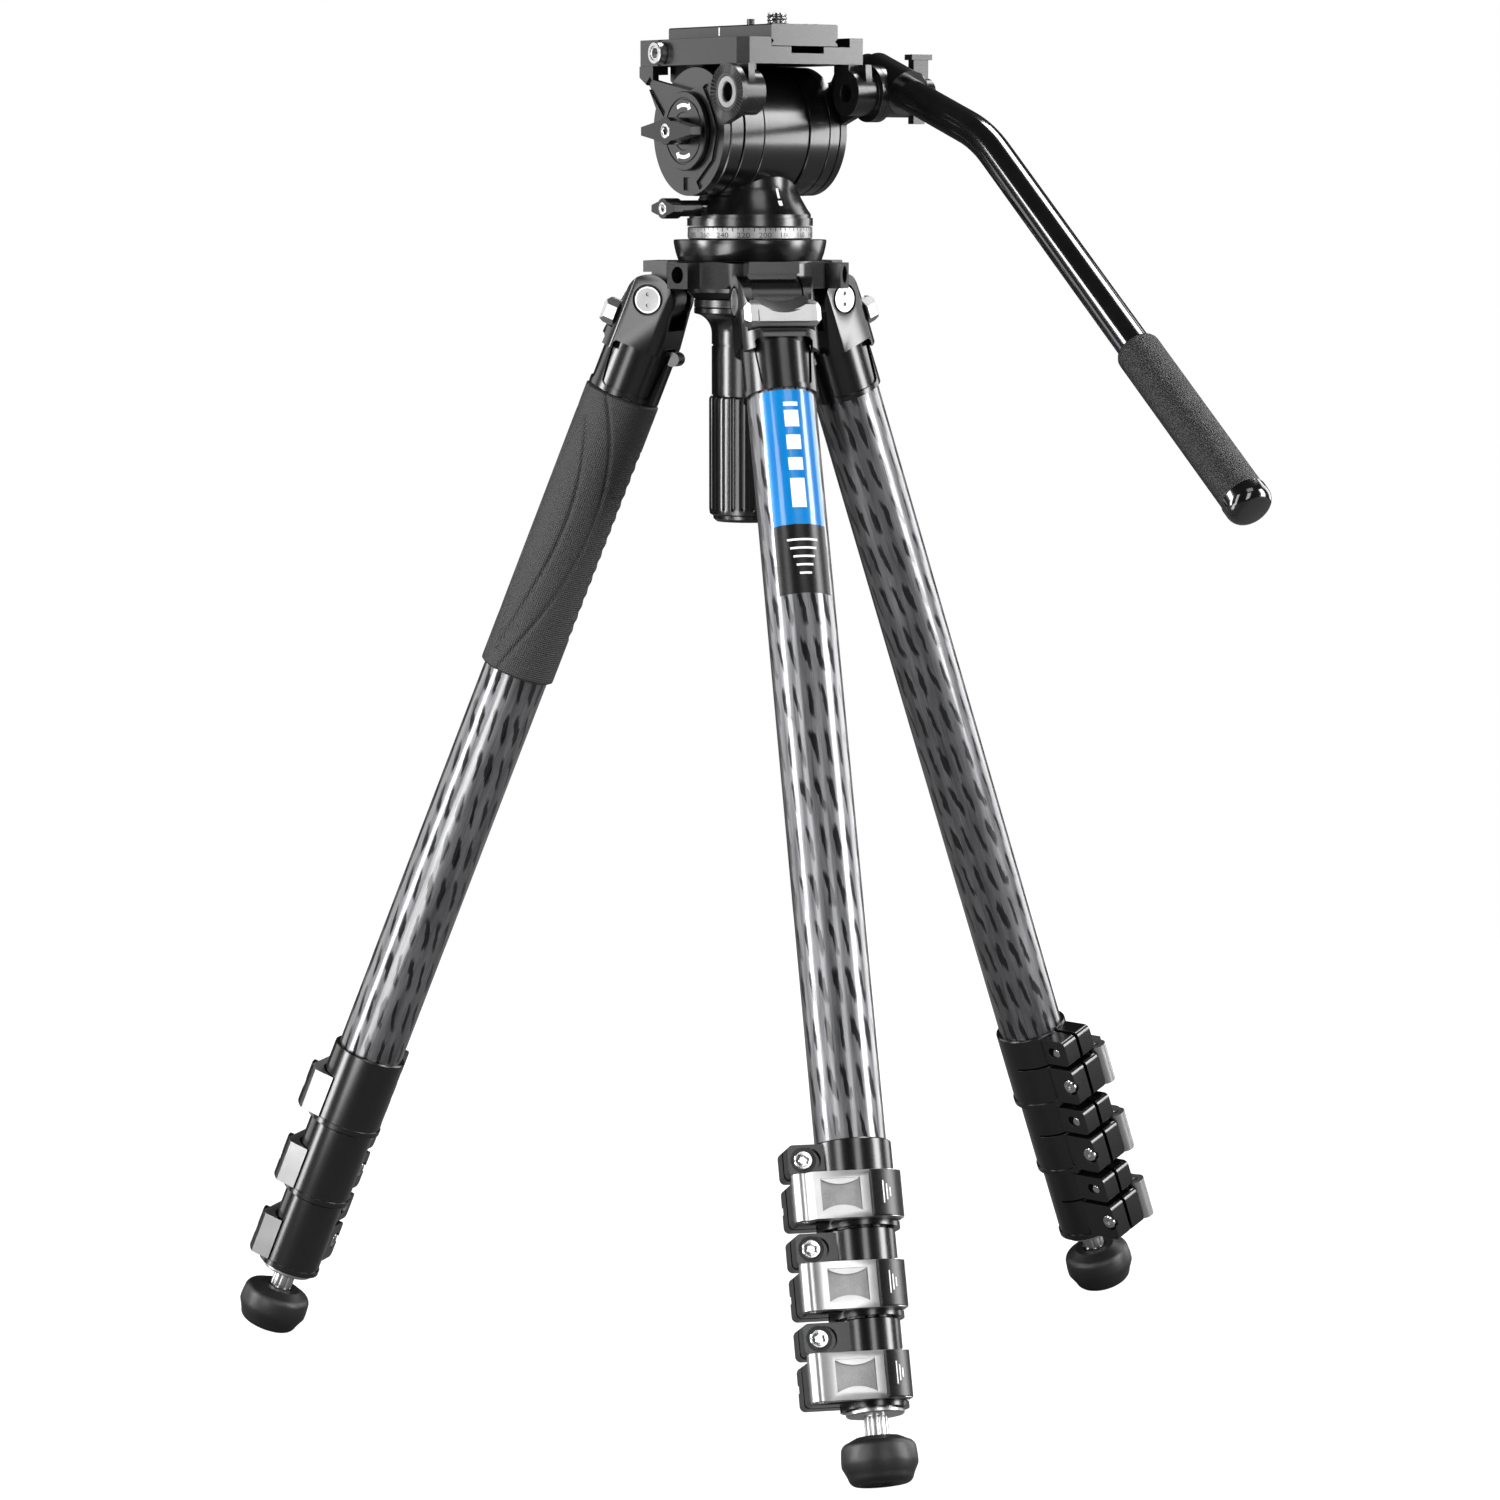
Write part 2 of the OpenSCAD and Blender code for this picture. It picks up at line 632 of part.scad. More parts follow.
module qr_plate() {
    half = plate_w / 2;
    color([0.1, 0.1, 0.11]) difference() {
        union() {
            translate([plate_x, clamp_len / 2 - 0.3, 0]) rotate([90, 0, 0]) linear_extrude(clamp_len - 0.8)
                polygon([[-half, plate_base], [half, plate_base], [half, plate_base + 0.8],
                         [half - 1.4, plate_base + 2.2], [half, plate_base + 3.6], [half, plate_top - 0.6],
                         [half - 0.6, plate_top], [-half + 0.6, plate_top], [-half, plate_top - 0.6],
                         [-half, plate_base + 3.6], [-half + 1.4, plate_base + 2.2],
                         [-half, plate_base + 0.8]]);
            translate([plate_x, 1.5, plate_top - 1]) cylinder(r = 1.8, h = 4.6);
        }
        translate([plate_x, screw_y, plate_base - 1]) cylinder(r = screw_head_r + 0.4, h = 4.3);
        translate([plate_x, screw_y, plate_base]) cylinder(r = screw_d / 2 - 0.5 + run_gap, h = 20);
        for (dx = [-10.6, -5.4, 5.4, 10.6]) translate([plate_x + dx - 1, -38, plate_top - 0.7])
            cube([2, 76, 2]);
    }
}

module camera_screw() {
    shank_r = screw_d / 2 - 0.5;
    color("silver") translate([plate_x, screw_y, 0]) difference() {
        union() {
            translate([0, 0, plate_base + 0.2]) cylinder(r = screw_head_r, h = 2.9);
            translate([0, 0, plate_base + 3]) cylinder(r = shank_r, h = plate_top - plate_base - 2);
            translate([0, 0, plate_top + 0.2]) cylinder(r = screw_d / 2, h = thread_len);
            translate([0, 0, plate_top + 0.2 + thread_len])
                cylinder(r1 = screw_d / 2, r2 = screw_d / 2 - 0.6, h = 0.6);
        }
        translate([-10, -0.8, plate_base]) cube([20, 1.6, 1.4]);
    }
}

// ---- pan bar ----

// places children at the bar's front end, their +X pointing down the bar
module on_bar() {
    translate([bar_x, bar_start[0], bar_start[1]]) rotate([bar_fall_1, 0, 0]) rotate([0, 0, -90]) children();
}

// places children where the bar's second straight run begins
module on_bar_end() {
    on_bar() translate([bar_run_1, 0, -bar_bend_r]) rotate([0, bar_fall_2 - bar_fall_1, 0])
        translate([0, 0, bar_bend_r]) children();
}

module bar_bend(r) {
    on_bar() translate([bar_run_1, 0, -bar_bend_r]) rotate([90, 0, 0])
        rotate([0, 0, 90 - (bar_fall_2 - bar_fall_1)])
            rotate_extrude(angle = bar_fall_2 - bar_fall_1) translate([bar_bend_r, 0]) circle(r = r);
}

module pan_bar() {
    color([0.03, 0.03, 0.03]) difference() {
        union() {
            on_bar() across(0, bar_run_1 + 1, bar_r);
            bar_bend(bar_r - 0.1);
            on_bar_end() across(-1, bar_run_2, bar_r);
        }
        on_bar() across(-1, bar_run_1 - 1, bar_r - bar_wall);
        on_bar_end() across(1, bar_run_2 + 1, bar_r - bar_wall);
    }
}

// the foam grip and the end cap that closes it
module bar_grip() {
    r = bar_grip_d / 2;
    color([0.12, 0.12, 0.12]) on_bar_end() difference() {
        union() {
            across(bar_run_2 - bar_grip_len, bar_run_2, r);
            across(bar_run_2 - 1, bar_run_2 + bar_cap - 3, r + 0.5);
            translate([bar_run_2 + bar_cap - 3, 0, 0]) rotate([0, 90, 0])
                cylinder(r1 = r + 0.5, r2 = r - 3.5, h = 3);
        }
        across(bar_run_2 - bar_grip_len - 1, bar_run_2 + 0.1, bar_r + run_gap / 2);
    }
}

module bar_clamp() {
    x0 = boss_out + rosette_t + 0.2;
    color([0.05, 0.05, 0.05]) difference() {
        union() {
            across(x0, x0 + 3, rosette_d / 2, rosette_y, rosette_z);
            across(x0 + 2, 61, 11, rosette_y, rosette_z);
            on_bar() across(8, 36, bar_r + 3);
        }
        on_bar() across(-1, 60, bar_r + run_gap / 2);
        across(x0 - 1, 80, 3 + run_gap, rosette_y, rosette_z);
        translate([0, 0, rosette_z]) across(0, x0, 60, rosette_y, 0);
    }
}

module bar_knob() {
    color([0.05, 0.05, 0.05]) {
        across(62, 66.4, 10.5, rosette_y, rosette_z);
        across(66.3, 73, 7.5, rosette_y, rosette_z);
        across(59, 62.1, 3, rosette_y, rosette_z);
        translate([63.6, rosette_y - 2.2, rosette_z]) cube([8.5, 4.4, 17]);
        translate([62, rosette_y - 3, rosette_z + 16]) cube([11.8, 6, 2.6]);
        translate([63.6, rosette_y - 2.2, rosette_z - 14]) cube([6.5, 4.4, 14]);
    }
}

// ---- every node ----

spider();
pivot_pins();
leg_sleeve();
seat_washer();
half_ball();
degree_ring();
level_handle();
pan_base();
pan_lever();
tilt_drum();
tilt_lever();
side_plate_left();
side_plate_right();
qr_clamp();
clamp_knob();
qr_plate();
camera_screw();
bar_clamp();
pan_bar();
bar_grip();
bar_knob();
for (i = [0:2]) {
    leg = str("_leg", leg_names[i]);
    in_leg(i) leg_root();
    in_leg(i) angle_tab();
    in_leg(i) foot();
    for (k = [0:3]) in_leg(i) tube(k);
    for (k = [0:2]) {
        in_leg(i) collar(k);
        in_leg(i) lever(k);
    }
}
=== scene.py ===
"""Looks of the video tripod: materials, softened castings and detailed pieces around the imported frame.

Helper functions work in millimetres in the CAD's frame, and piece() scales a mesh to metres.
A leg's own frame has +X across the leg, -Y outward and -Z down the leg, with its pivot at 0.
"""
import json
import math

import bmesh
import bpy
from mathutils import Matrix, Vector

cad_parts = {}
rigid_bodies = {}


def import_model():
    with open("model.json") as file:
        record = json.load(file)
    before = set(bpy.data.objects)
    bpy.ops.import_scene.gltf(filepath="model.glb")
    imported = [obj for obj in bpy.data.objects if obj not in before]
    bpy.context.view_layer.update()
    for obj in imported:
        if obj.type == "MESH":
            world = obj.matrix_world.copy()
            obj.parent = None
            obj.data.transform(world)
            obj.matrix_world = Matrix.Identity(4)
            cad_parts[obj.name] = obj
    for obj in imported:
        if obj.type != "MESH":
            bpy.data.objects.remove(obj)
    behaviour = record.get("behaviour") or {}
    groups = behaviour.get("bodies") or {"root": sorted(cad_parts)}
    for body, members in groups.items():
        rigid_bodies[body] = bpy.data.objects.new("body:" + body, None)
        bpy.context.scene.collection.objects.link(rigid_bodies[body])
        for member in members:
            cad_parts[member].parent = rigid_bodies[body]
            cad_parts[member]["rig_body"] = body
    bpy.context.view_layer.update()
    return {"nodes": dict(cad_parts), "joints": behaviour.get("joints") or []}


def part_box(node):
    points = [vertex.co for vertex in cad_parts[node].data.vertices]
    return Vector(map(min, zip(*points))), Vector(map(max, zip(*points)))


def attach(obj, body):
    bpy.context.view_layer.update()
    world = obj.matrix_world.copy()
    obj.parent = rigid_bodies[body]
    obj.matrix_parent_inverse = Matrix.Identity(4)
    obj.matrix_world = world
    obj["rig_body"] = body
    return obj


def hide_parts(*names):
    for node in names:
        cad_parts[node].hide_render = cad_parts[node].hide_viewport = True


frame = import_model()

MM = 0.001
JOINTS = {j["name"]: j for j in frame["joints"]}
LEGS = ("leg1", "leg2", "leg3")


# ---- places taken from the frame ----

def spot(joint):
    """A joint's point, in millimetres."""
    return Vector(JOINTS[joint]["pos_m"]) / MM


def way(joint):
    """A joint's direction."""
    return Vector(JOINTS[joint]["axis"])


def extent(node):
    """Lowest and highest corner of a CAD node, in millimetres."""
    low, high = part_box(node)
    return low / MM, high / MM


def at(x=0.0, y=0.0, z=0.0):
    return Matrix.Translation((x, y, z))


def turn_z(degrees):
    return Matrix.Rotation(math.radians(degrees), 4, "Z")


def facing(point, direction, turn=0.0):
    """A frame at a point whose +Z looks along direction."""
    m = Vector(direction).to_track_quat("Z", "Y").to_matrix().to_4x4()
    m.translation = Vector(point)
    return m @ turn_z(turn)


def along_x(x, y, z):
    """A frame whose +Z is the CAD's +X and whose +Y stays +Y."""
    return at(x, y, z) @ Matrix.Rotation(math.radians(90), 4, "Y")


def leg_frame(leg):
    """A leg's own frame, as the heading of this file says."""
    x = -way(leg + "_spread")
    z = -way(leg + "_extend_1")
    m = Matrix((x, z.cross(x), z)).transposed().to_4x4()
    m.translation = spot(leg + "_spread")
    return m


def down_leg(leg, node):
    """How far down the leg a node begins and ends, measured on the leg's own axis."""
    inverse = LEG_FRAME[leg].inverted()
    heights = [(inverse @ (v.co / MM)).z for v in frame["nodes"][node].data.vertices]
    return -max(heights), -min(heights)


LEG_FRAME = {leg: leg_frame(leg) for leg in LEGS}
TILT = spot("tilt_turn")
BALL = spot("level_pitch")
ROSETTE = spot("bar_angle")
FOOT_MID = sum(down_leg("leg1", "foot_leg1")) / 2      # the middle of a foot, down the leg
FLANGE = 23.3                      # the flange that closes the lowest tube, above the middle of the foot
TUBE_R = [16, 14, 12.5, 11]        # outer radii of a leg's tubes, from the top
COLLAR_R = [18, 16.2, 14.7]        # and of its locks
CHEEK = 18                         # half the width of a leg root at its pivot
LEVER_HALF = 10.4                  # half a lever's height
VIEW_AZIMUTH = math.radians(-34)   # the camera's side, where 0 is straight behind the operator


# ---- shader building ----

class Shader:
    """A node material with short calls for the few kinds of node that the finishes use."""

    def __init__(self, name, uv=None):
        self.material = bpy.data.materials.new(name)
        self.material.use_nodes = True
        self.tree = self.material.node_tree
        self.inputs = self.tree.nodes["Principled BSDF"].inputs
        if uv:
            self.coords = self.node("ShaderNodeUVMap", uv_map=uv).outputs["UV"]
        else:
            self.coords = self.node("ShaderNodeTexCoord").outputs["Object"]

    def put(self, socket, value):
        if isinstance(value, bpy.types.NodeSocket):
            self.tree.links.new(value, socket)
        else:
            socket.default_value = value

    def node(self, kind, inputs=None, **settings):
        made = self.tree.nodes.new(kind)
        for key, value in settings.items():
            setattr(made, key, value)
        for key, value in (inputs or {}).items():
            self.put(made.inputs[key], value)
        return made

    def surface(self, values):
        for key, value in values.items():
            self.put(self.inputs[key], value)

    def scaled(self, x, y, z):
        mapping = self.node("ShaderNodeMapping", {"Vector": self.coords, "Scale": (x, y, z)})
        return mapping.outputs["Vector"]

    def noise(self, vector, detail=3.0, rough=0.55):
        made = self.node("ShaderNodeTexNoise", {"Vector": vector, "Scale": 1.0, "Detail": detail,
                                                "Roughness": rough})
        return made.outputs["Fac"]

    def ramp(self, factor, *stops):
        """A colour ramp; each stop is (position, grey or colour)."""
        made = self.node("ShaderNodeValToRGB", {"Fac": factor})
        elements = made.color_ramp.elements
        while len(elements) < len(stops):
            elements.new(1.0)
        for element, (position, value) in zip(elements, stops):
            element.position = position
            element.color = (*(value if isinstance(value, tuple) else (value,) * 3), 1)
        return made.outputs["Color"]

    def math(self, operation, *values):
        made = self.node("ShaderNodeMath", operation=operation)
        for socket, value in zip(made.inputs, values):
            self.put(socket, value)
        return made.outputs["Value"]

    def bump(self, height, distance):
        made = self.node("ShaderNodeBump", {"Height": height, "Distance": distance})
        self.put(self.inputs["Normal"], made.outputs["Normal"])


def grained(name, dark, light, rough, grain, depth, metallic=0.0, ior=1.5, swing=0.06, coat=0.0,
            coat_rough=0.1):
    """A finely grained finish: mottled grey, uneven roughness and a shallow bump; grain and depth in mm."""
    s = Shader(name)
    fineness = 1 / (grain * MM)
    fine = s.noise(s.scaled(fineness, fineness, fineness))
    broad = s.noise(s.scaled(90, 90, 90))
    mottle = s.math("MULTIPLY_ADD", broad, 0.5, s.math("MULTIPLY", fine, 0.5))
    s.surface({"Base Color": s.ramp(mottle, (0.35, dark), (0.65, light)),
               "Roughness": s.ramp(fine, (0.3, rough - swing), (0.7, rough + swing)),
               "Metallic": metallic, "IOR": ior, "Coat Weight": coat, "Coat Roughness": coat_rough})
    s.bump(fine, depth * MM)
    return s.material


def carbon():
    """Clear-coated carbon: long dark leaves between bundles of fibre that lean round the tube.

    The UV map runs once round the tube in u and one unit each 100 mm in v.
    """
    leaves_round, leaf_pitch, fibre = 16, 0.44, 90
    s = Shader("carbon_fibre", uv="wrap")
    u, v, _ = s.node("ShaderNodeSeparateXYZ", {"Vector": s.coords}).outputs
    wobble = s.math("MULTIPLY", s.math("SUBTRACT", s.noise(s.scaled(20, 5, 1), 2.0), 0.5), 0.9)
    straight = s.math("ADD", s.math("MULTIPLY", u, leaves_round), wobble)
    leaning = s.math("ADD", straight, s.math("MULTIPLY", v, 2 / leaf_pitch))
    wave = [s.math("COSINE", s.math("MULTIPLY", phase, 2 * math.pi)) for phase in (straight, leaning)]
    leaf = s.math("MULTIPLY_ADD", s.math("ADD", *wave), 0.25, 0.5)
    strand = s.noise(s.scaled(fibre * 3, 5, 1), 4.0, 0.7)
    bundle = s.noise(s.scaled(26, 2.4, 1), 2.0)
    edge = s.math("ADD", leaf, s.math("MULTIPLY", s.math("SUBTRACT", strand, 0.5), 0.5))
    body = s.ramp(edge, (0.2, 0.0), (0.36, 1.0))
    thread = s.math("ADD", s.math("MULTIPLY", strand, 0.6), s.math("MULTIPLY", bundle, 0.6))
    tone = s.math("MULTIPLY", body, thread)
    s.surface({"Base Color": s.ramp(tone, (0.0, (0.004, 0.004, 0.005)), (0.45, (0.06, 0.06, 0.064)),
                                    (0.7, (0.16, 0.16, 0.168)), (1.0, (0.27, 0.27, 0.285))),
               "Metallic": 0.8, "Roughness": s.ramp(strand, (0.3, 0.34), (0.7, 0.46)),
               "Coat Weight": 1.0, "Coat Roughness": 0.12})
    return s.material


def foam():
    """Dense black foam with open grains that catch the light."""
    s = Shader("grip_foam")
    cells = s.node("ShaderNodeTexVoronoi", {"Vector": s.scaled(1500, 1500, 1500), "Scale": 1.0})
    grain = s.noise(s.scaled(1100, 1100, 1100), 4.0, 0.7)
    height = s.math("ADD", s.math("MULTIPLY", cells.outputs["Distance"], 0.6), grain)
    s.surface({"Base Color": s.ramp(height, (0.4, 0.001), (0.75, 0.004), (1.0, 0.02)),
               "Roughness": s.ramp(height, (0.4, 0.45), (1.0, 0.3)), "IOR": 1.4})
    s.bump(height, 0.5 * MM)
    return s.material


def knit():
    """Foam sleeve with a fine square knit; the UV map is the tube's."""
    wales_round, courses_per_unit = 118, 100
    s = Shader("sleeve_knit", uv="wrap")
    u, v, _ = s.node("ShaderNodeSeparateXYZ", {"Vector": s.coords}).outputs
    wales = s.math("SINE", s.math("MULTIPLY", u, 2 * math.pi * wales_round))
    courses = s.math("SINE", s.math("MULTIPLY", v, 2 * math.pi * courses_per_unit))
    weave = s.math("MULTIPLY_ADD", s.math("ADD", wales, courses), 0.25, 0.5)
    fuzz = s.noise(s.scaled(700, 600, 1), 3.0)
    height = s.math("ADD", weave, s.math("MULTIPLY", fuzz, 0.3))
    s.surface({"Base Color": s.ramp(height, (0.35, 0.004), (0.8, 0.014), (1.0, 0.03)),
               "Roughness": s.ramp(fuzz, (0.3, 0.5), (0.7, 0.66))})
    s.bump(height, 0.22 * MM)
    return s.material


def label_blue():
    """Printed film, a little uneven in tone, under a clear coat."""
    s = Shader("label_blue", uv="wrap")
    broad = s.noise(s.scaled(9, 1.5, 1), 2.0)
    fine = s.noise(s.scaled(900, 900, 1), 2.0)
    s.surface({"Base Color": s.ramp(broad, (0.35, (0.0, 0.15, 0.45)), (0.65, (0.0, 0.2, 0.54))),
               "Roughness": s.ramp(fine, (0.3, 0.2), (0.7, 0.28)), "Coat Weight": 0.6})
    return s.material


FINISH = {
    "anodised": grained("black_anodised", 0.002, 0.005, 0.27, ior=1.55, grain=0.14, depth=0.006),
    "satin": grained("black_satin", 0.0015, 0.003, 0.22, ior=1.6, grain=0.12, depth=0.003, swing=0.04),
    "gloss": grained("black_gloss", 0.002, 0.005, 0.14, ior=1.6, grain=0.5, depth=0.002, swing=0.03, coat=0.5,
                     coat_rough=0.03),
    "silver": grained("silver_satin", 0.42, 0.52, 0.33, metallic=1.0, grain=0.12, depth=0.006),
    # Darker, rougher silver: the rosette inserts' own finish, and painted shade on the lever pockets' floors
    "blasted": grained("silver_blasted_and_pocket_shade", 0.2, 0.34, 0.5, metallic=1.0, grain=0.5, depth=0.04),
    "scale": grained("scale_silver", 0.2, 0.3, 0.4, metallic=1.0, grain=0.12, depth=0.004),
    "steel": grained("steel_turned", 0.5, 0.62, 0.2, metallic=1.0, grain=0.1, depth=0.003),
    "plastic": grained("moulded_black", 0.002, 0.005, 0.28, ior=1.42, grain=0.2, depth=0.01),
    "rubber": grained("black_rubber", 0.003, 0.007, 0.45, grain=0.3, depth=0.03),
    "white": grained("white_print", 0.9, 0.96, 0.5, grain=0.2, depth=0.002),
    # Black for print (the scale's ticks and numbers) and for painted shade (the black rings round the clamp
    # screws' heads and round the pivots' heads)
    "dark": grained("black_print_and_painted_shade", 0.002, 0.005, 0.6, grain=0.2, depth=0.004),
    "carbon": carbon(), "foam": foam(), "knit": knit(), "blue": label_blue(),
}


# ---- mesh building ----

def piece(name, bm, body, finish, place=None, bevel=0.0, replaces=(), smooth=34):
    """Turns a mesh built in millimetres into a piece that rides a body.

    Edges that turn by less than smooth degrees are shaded smooth, and sharper ones are rounded by bevel.
    """
    place = place or Matrix()
    bmesh.ops.transform(bm, matrix=Matrix.Scale(MM, 4) @ place, verts=bm.verts)
    for face in bm.faces:
        face.smooth = True
    for edge in bm.edges:
        edge.smooth = len(edge.link_faces) == 2 and edge.calc_face_angle() < math.radians(smooth)
    mesh = bpy.data.meshes.new(name)
    bm.to_mesh(mesh)
    bm.free()
    mesh.materials.append(FINISH[finish])
    made = bpy.data.objects.new(name, mesh)
    bpy.context.scene.collection.objects.link(made)
    if bevel:
        rounding = made.modifiers.new("rounding", "BEVEL")
        rounding.width = bevel * MM
        rounding.segments = 2
        rounding.limit_method = "ANGLE"
        rounding.angle_limit = math.radians(smooth)
        rounding.harden_normals = True
        rounding.use_clamp_overlap = True
    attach(made, body)
    if replaces:
        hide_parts(*replaces)


def casting(node, finish, bevel):
    """A CAD node's own shape with its edges rounded, as cast or machined, in place of the node."""
    bm = bmesh.new()
    bm.from_mesh(frame["nodes"][node].data)
    bmesh.ops.scale(bm, vec=(1 / MM,) * 3, verts=bm.verts)
    bmesh.ops.remove_doubles(bm, verts=bm.verts, dist=0.002)
    bmesh.ops.dissolve_limit(bm, angle_limit=math.radians(0.6), verts=bm.verts, edges=bm.edges)
    body = frame["nodes"][node]["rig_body"]
    piece(node + "_body", bm, body, finish, bevel=bevel, replaces=[node], smooth=28)


def steps_to(start, end, count):
    """Even steps from start to end, both included."""
    return [start + (end - start) * i / count for i in range(count + 1)]


def resolved(entry, angle):
    return entry(angle) if callable(entry) else entry


def turned(rows, steps=96):
    """A solid of revolution about Z. Each row is (radius, height[, sides]), and both may depend on the angle.

    A row with sides is a polygon of that circumscribed radius, such as a hexagon socket. The UV map "wrap"
    runs once round in u and one unit each 100 mm of height in v.
    """
    bm = bmesh.new()
    wrap = bm.loops.layers.uv.new("wrap")
    rings = []
    for row in rows:
        sides = row[2] if len(row) > 2 else 0
        if row[0] == 0:
            rings.append([bm.verts.new((0, 0, row[1]))] * steps)
            continue
        ring = []
        for j in range(steps):
            a = 2 * math.pi * j / steps
            r = resolved(row[0], a)
            if sides:
                part = 2 * math.pi / sides
                r *= math.cos(part / 2) / math.cos(a % part - part / 2)
            ring.append(bm.verts.new((r * math.cos(a), r * math.sin(a), resolved(row[1], a))))
        rings.append(ring)
    for low, high in zip(rings, rings[1:]):
        for j in range(steps):
            k = (j + 1) % steps
            corners = [(low[j], j), (low[k], j + 1), (high[k], j + 1), (high[j], j)]
            corners = [c for i, c in enumerate(corners) if c[0] not in [d[0] for d in corners[:i]]]
            face = bm.faces.new([c[0] for c in corners])
            for loop, (vert, step) in zip(face.loops, corners):
                loop[wrap].uv = (step / steps, vert.co.z / 100)
    bmesh.ops.recalc_face_normals(bm, faces=bm.faces)
    return bm


def looped(rows, steps=96):
    """A solid of revolution that is open down its middle, such as a tube; its profile is a closed loop."""
    bm = turned(rows + rows[:1], steps)
    bmesh.ops.remove_doubles(bm, verts=bm.verts, dist=0.001)
    bmesh.ops.recalc_face_normals(bm, faces=bm.faces)
    return bm


def ring_of(inner, outer, low, high, steps=96):
    """A plain ring about Z."""
    return looped([(inner, low), (outer, low), (outer, high), (inner, high)], steps)


def refined(rows):
    """A closed profile with its long straight stretches cut up, so that the UV map stays even."""
    longest = 30.0
    result = []
    for (r0, z0), (r1, z1) in zip(rows, rows[1:] + rows[:1]):
        count = max(1, int(math.hypot(r1 - r0, z1 - z0) / longest))
        result += [(r0 + (r1 - r0) * i / count, z0 + (z1 - z0) * i / count) for i in range(count)]
    return result


def prism(outline, low, high):
    """An outline in X and Y made solid from low to high."""
    bm = bmesh.new()
    rows = [[bm.verts.new((x, y, z)) for x, y in outline] for z in (low, high)]
    count = len(outline)
    for j in range(count):
        k = (j + 1) % count
        bm.faces.new((rows[0][j], rows[0][k], rows[1][k], rows[1][j]))
    bm.faces.new(rows[0][::-1])
    bm.faces.new(rows[1])
    bmesh.ops.recalc_face_normals(bm, faces=bm.faces)
    return bm


def block(x0, x1, y0, y1, z0, z1):
    return prism([(x0, y0), (x1, y0), (x1, y1), (x0, y1)], z0, z1)


def polar(radius, degrees):
    return radius * math.cos(math.radians(degrees)), radius * math.sin(math.radians(degrees))


def arc(x, y, radius, start, end, count):
    """Points on an arc, angles in degrees."""
    points = [polar(radius, degrees) for degrees in steps_to(start, end, count)]
    return [(x + px, y + py) for px, py in points]


def hollow(half, start, middle, count):
    """Points on a shallow curve over -half to half, with its ends at one height and its middle at another."""
    return [(x, middle + (start - middle) * (x / half) ** 2) for x in steps_to(-half, half, count)]


def flat_arc(inner, outer, start, end, low, high):
    """A part of a flat ring, angles in degrees."""
    return prism(arc(0, 0, outer, start, end, 16) + arc(0, 0, inner, end, start, 16), low, high)


def round_rect(wide, tall, r):
    """A centred rectangle with round corners."""
    x, y = wide / 2 - r, tall / 2 - r
    corners = ((x, y, 0), (-x, y, 90), (-x, -y, 180), (x, -y, 270))
    return [point for cx, cy, start in corners for point in arc(cx, cy, r, start, start + 90, 6)]


def shell(radius, thick, a0, a1, z0, z1, across, along):
    """A patch of a tube's skin between two angles in degrees and two heights, with the tube's UV map."""
    bm = bmesh.new()
    wrap = bm.loops.layers.uv.new("wrap")
    grid = {}
    for side, r in ((0, radius), (1, radius + thick)):
        for i in range(across + 1):
            a = math.radians(a0 + (a1 - a0) * i / across)
            for j in range(along + 1):
                z = z0 + (z1 - z0) * j / along
                grid[side, i, j] = bm.verts.new((r * math.cos(a), r * math.sin(a), z))

    def face(*keys):
        made = bm.faces.new([grid[key] for key in keys])
        for loop, (_, i, j) in zip(made.loops, keys):
            loop[wrap].uv = ((a0 + (a1 - a0) * i / across) / 360, (z0 + (z1 - z0) * j / along) / 100)

    for i in range(across):
        for j in range(along):
            for side in (0, 1):
                face((side, i, j), (side, i + 1, j), (side, i + 1, j + 1), (side, i, j + 1))
        for j in (0, along):
            face((0, i, j), (0, i + 1, j), (1, i + 1, j), (1, i, j))
    for j in range(along):
        for i in (0, across):
            face((0, i, j), (0, i, j + 1), (1, i, j + 1), (1, i, j))
    bmesh.ops.recalc_face_normals(bm, faces=bm.faces)
    return bm


def swept(points, radius, steps):
    """A round bar along a smooth path in one plane."""
    bm = bmesh.new()
    normal = (points[1] - points[0]).cross(points[-1] - points[0]).normalized()
    angles = [2 * math.pi * j / steps for j in range(steps)]
    rings = []
    for i, point in enumerate(points):
        ahead = (points[min(i + 1, len(points) - 1)] - points[max(i - 1, 0)]).normalized()
        side = ahead.cross(normal)
        rings.append([bm.verts.new(point + (side * math.cos(a) + normal * math.sin(a)) * radius)
                      for a in angles])
    for low, high in zip(rings, rings[1:]):
        for j in range(steps):
            k = (j + 1) % steps
            bm.faces.new((low[j], low[k], high[k], high[j]))
    bm.faces.new(rings[0])
    bm.faces.new(rings[-1])
    bmesh.ops.recalc_face_normals(bm, faces=bm.faces)
    return bm


def joined(*meshes):
    """Several meshes as one."""
    whole = bmesh.new()
    for bm in meshes:
        carrier = bpy.data.meshes.new("part")
        bm.to_mesh(carrier)
        bm.free()
        whole.from_mesh(carrier)
        bpy.data.meshes.remove(carrier)
    return whole


def ribbon(line, half, proud):
    """A flat strip on the operator's side of a turned shape; line gives radius and height of its ends."""
    (r0, z0), (r1, z1) = line
    slope = math.hypot(r1 - r0, z1 - z0)
    lift = Vector((0, -abs(z1 - z0) / slope, abs(r1 - r0) / slope)) * proud
    bm = bmesh.new()
    rows = []
    for out in (-1, 1):
        corners = [(-half, -r0, z0), (half, -r0, z0), (half, -r1, z1), (-half, -r1, z1)]
        rows.append([bm.verts.new(Vector(c) + lift * out) for c in corners])
    for j in range(4):
        k = (j + 1) % 4
        bm.faces.new((rows[0][j], rows[0][k], rows[1][k], rows[1][j]))
    bm.faces.new(rows[0])
    bm.faces.new(rows[1])
    bmesh.ops.recalc_face_normals(bm, faces=bm.faces)
    return bm


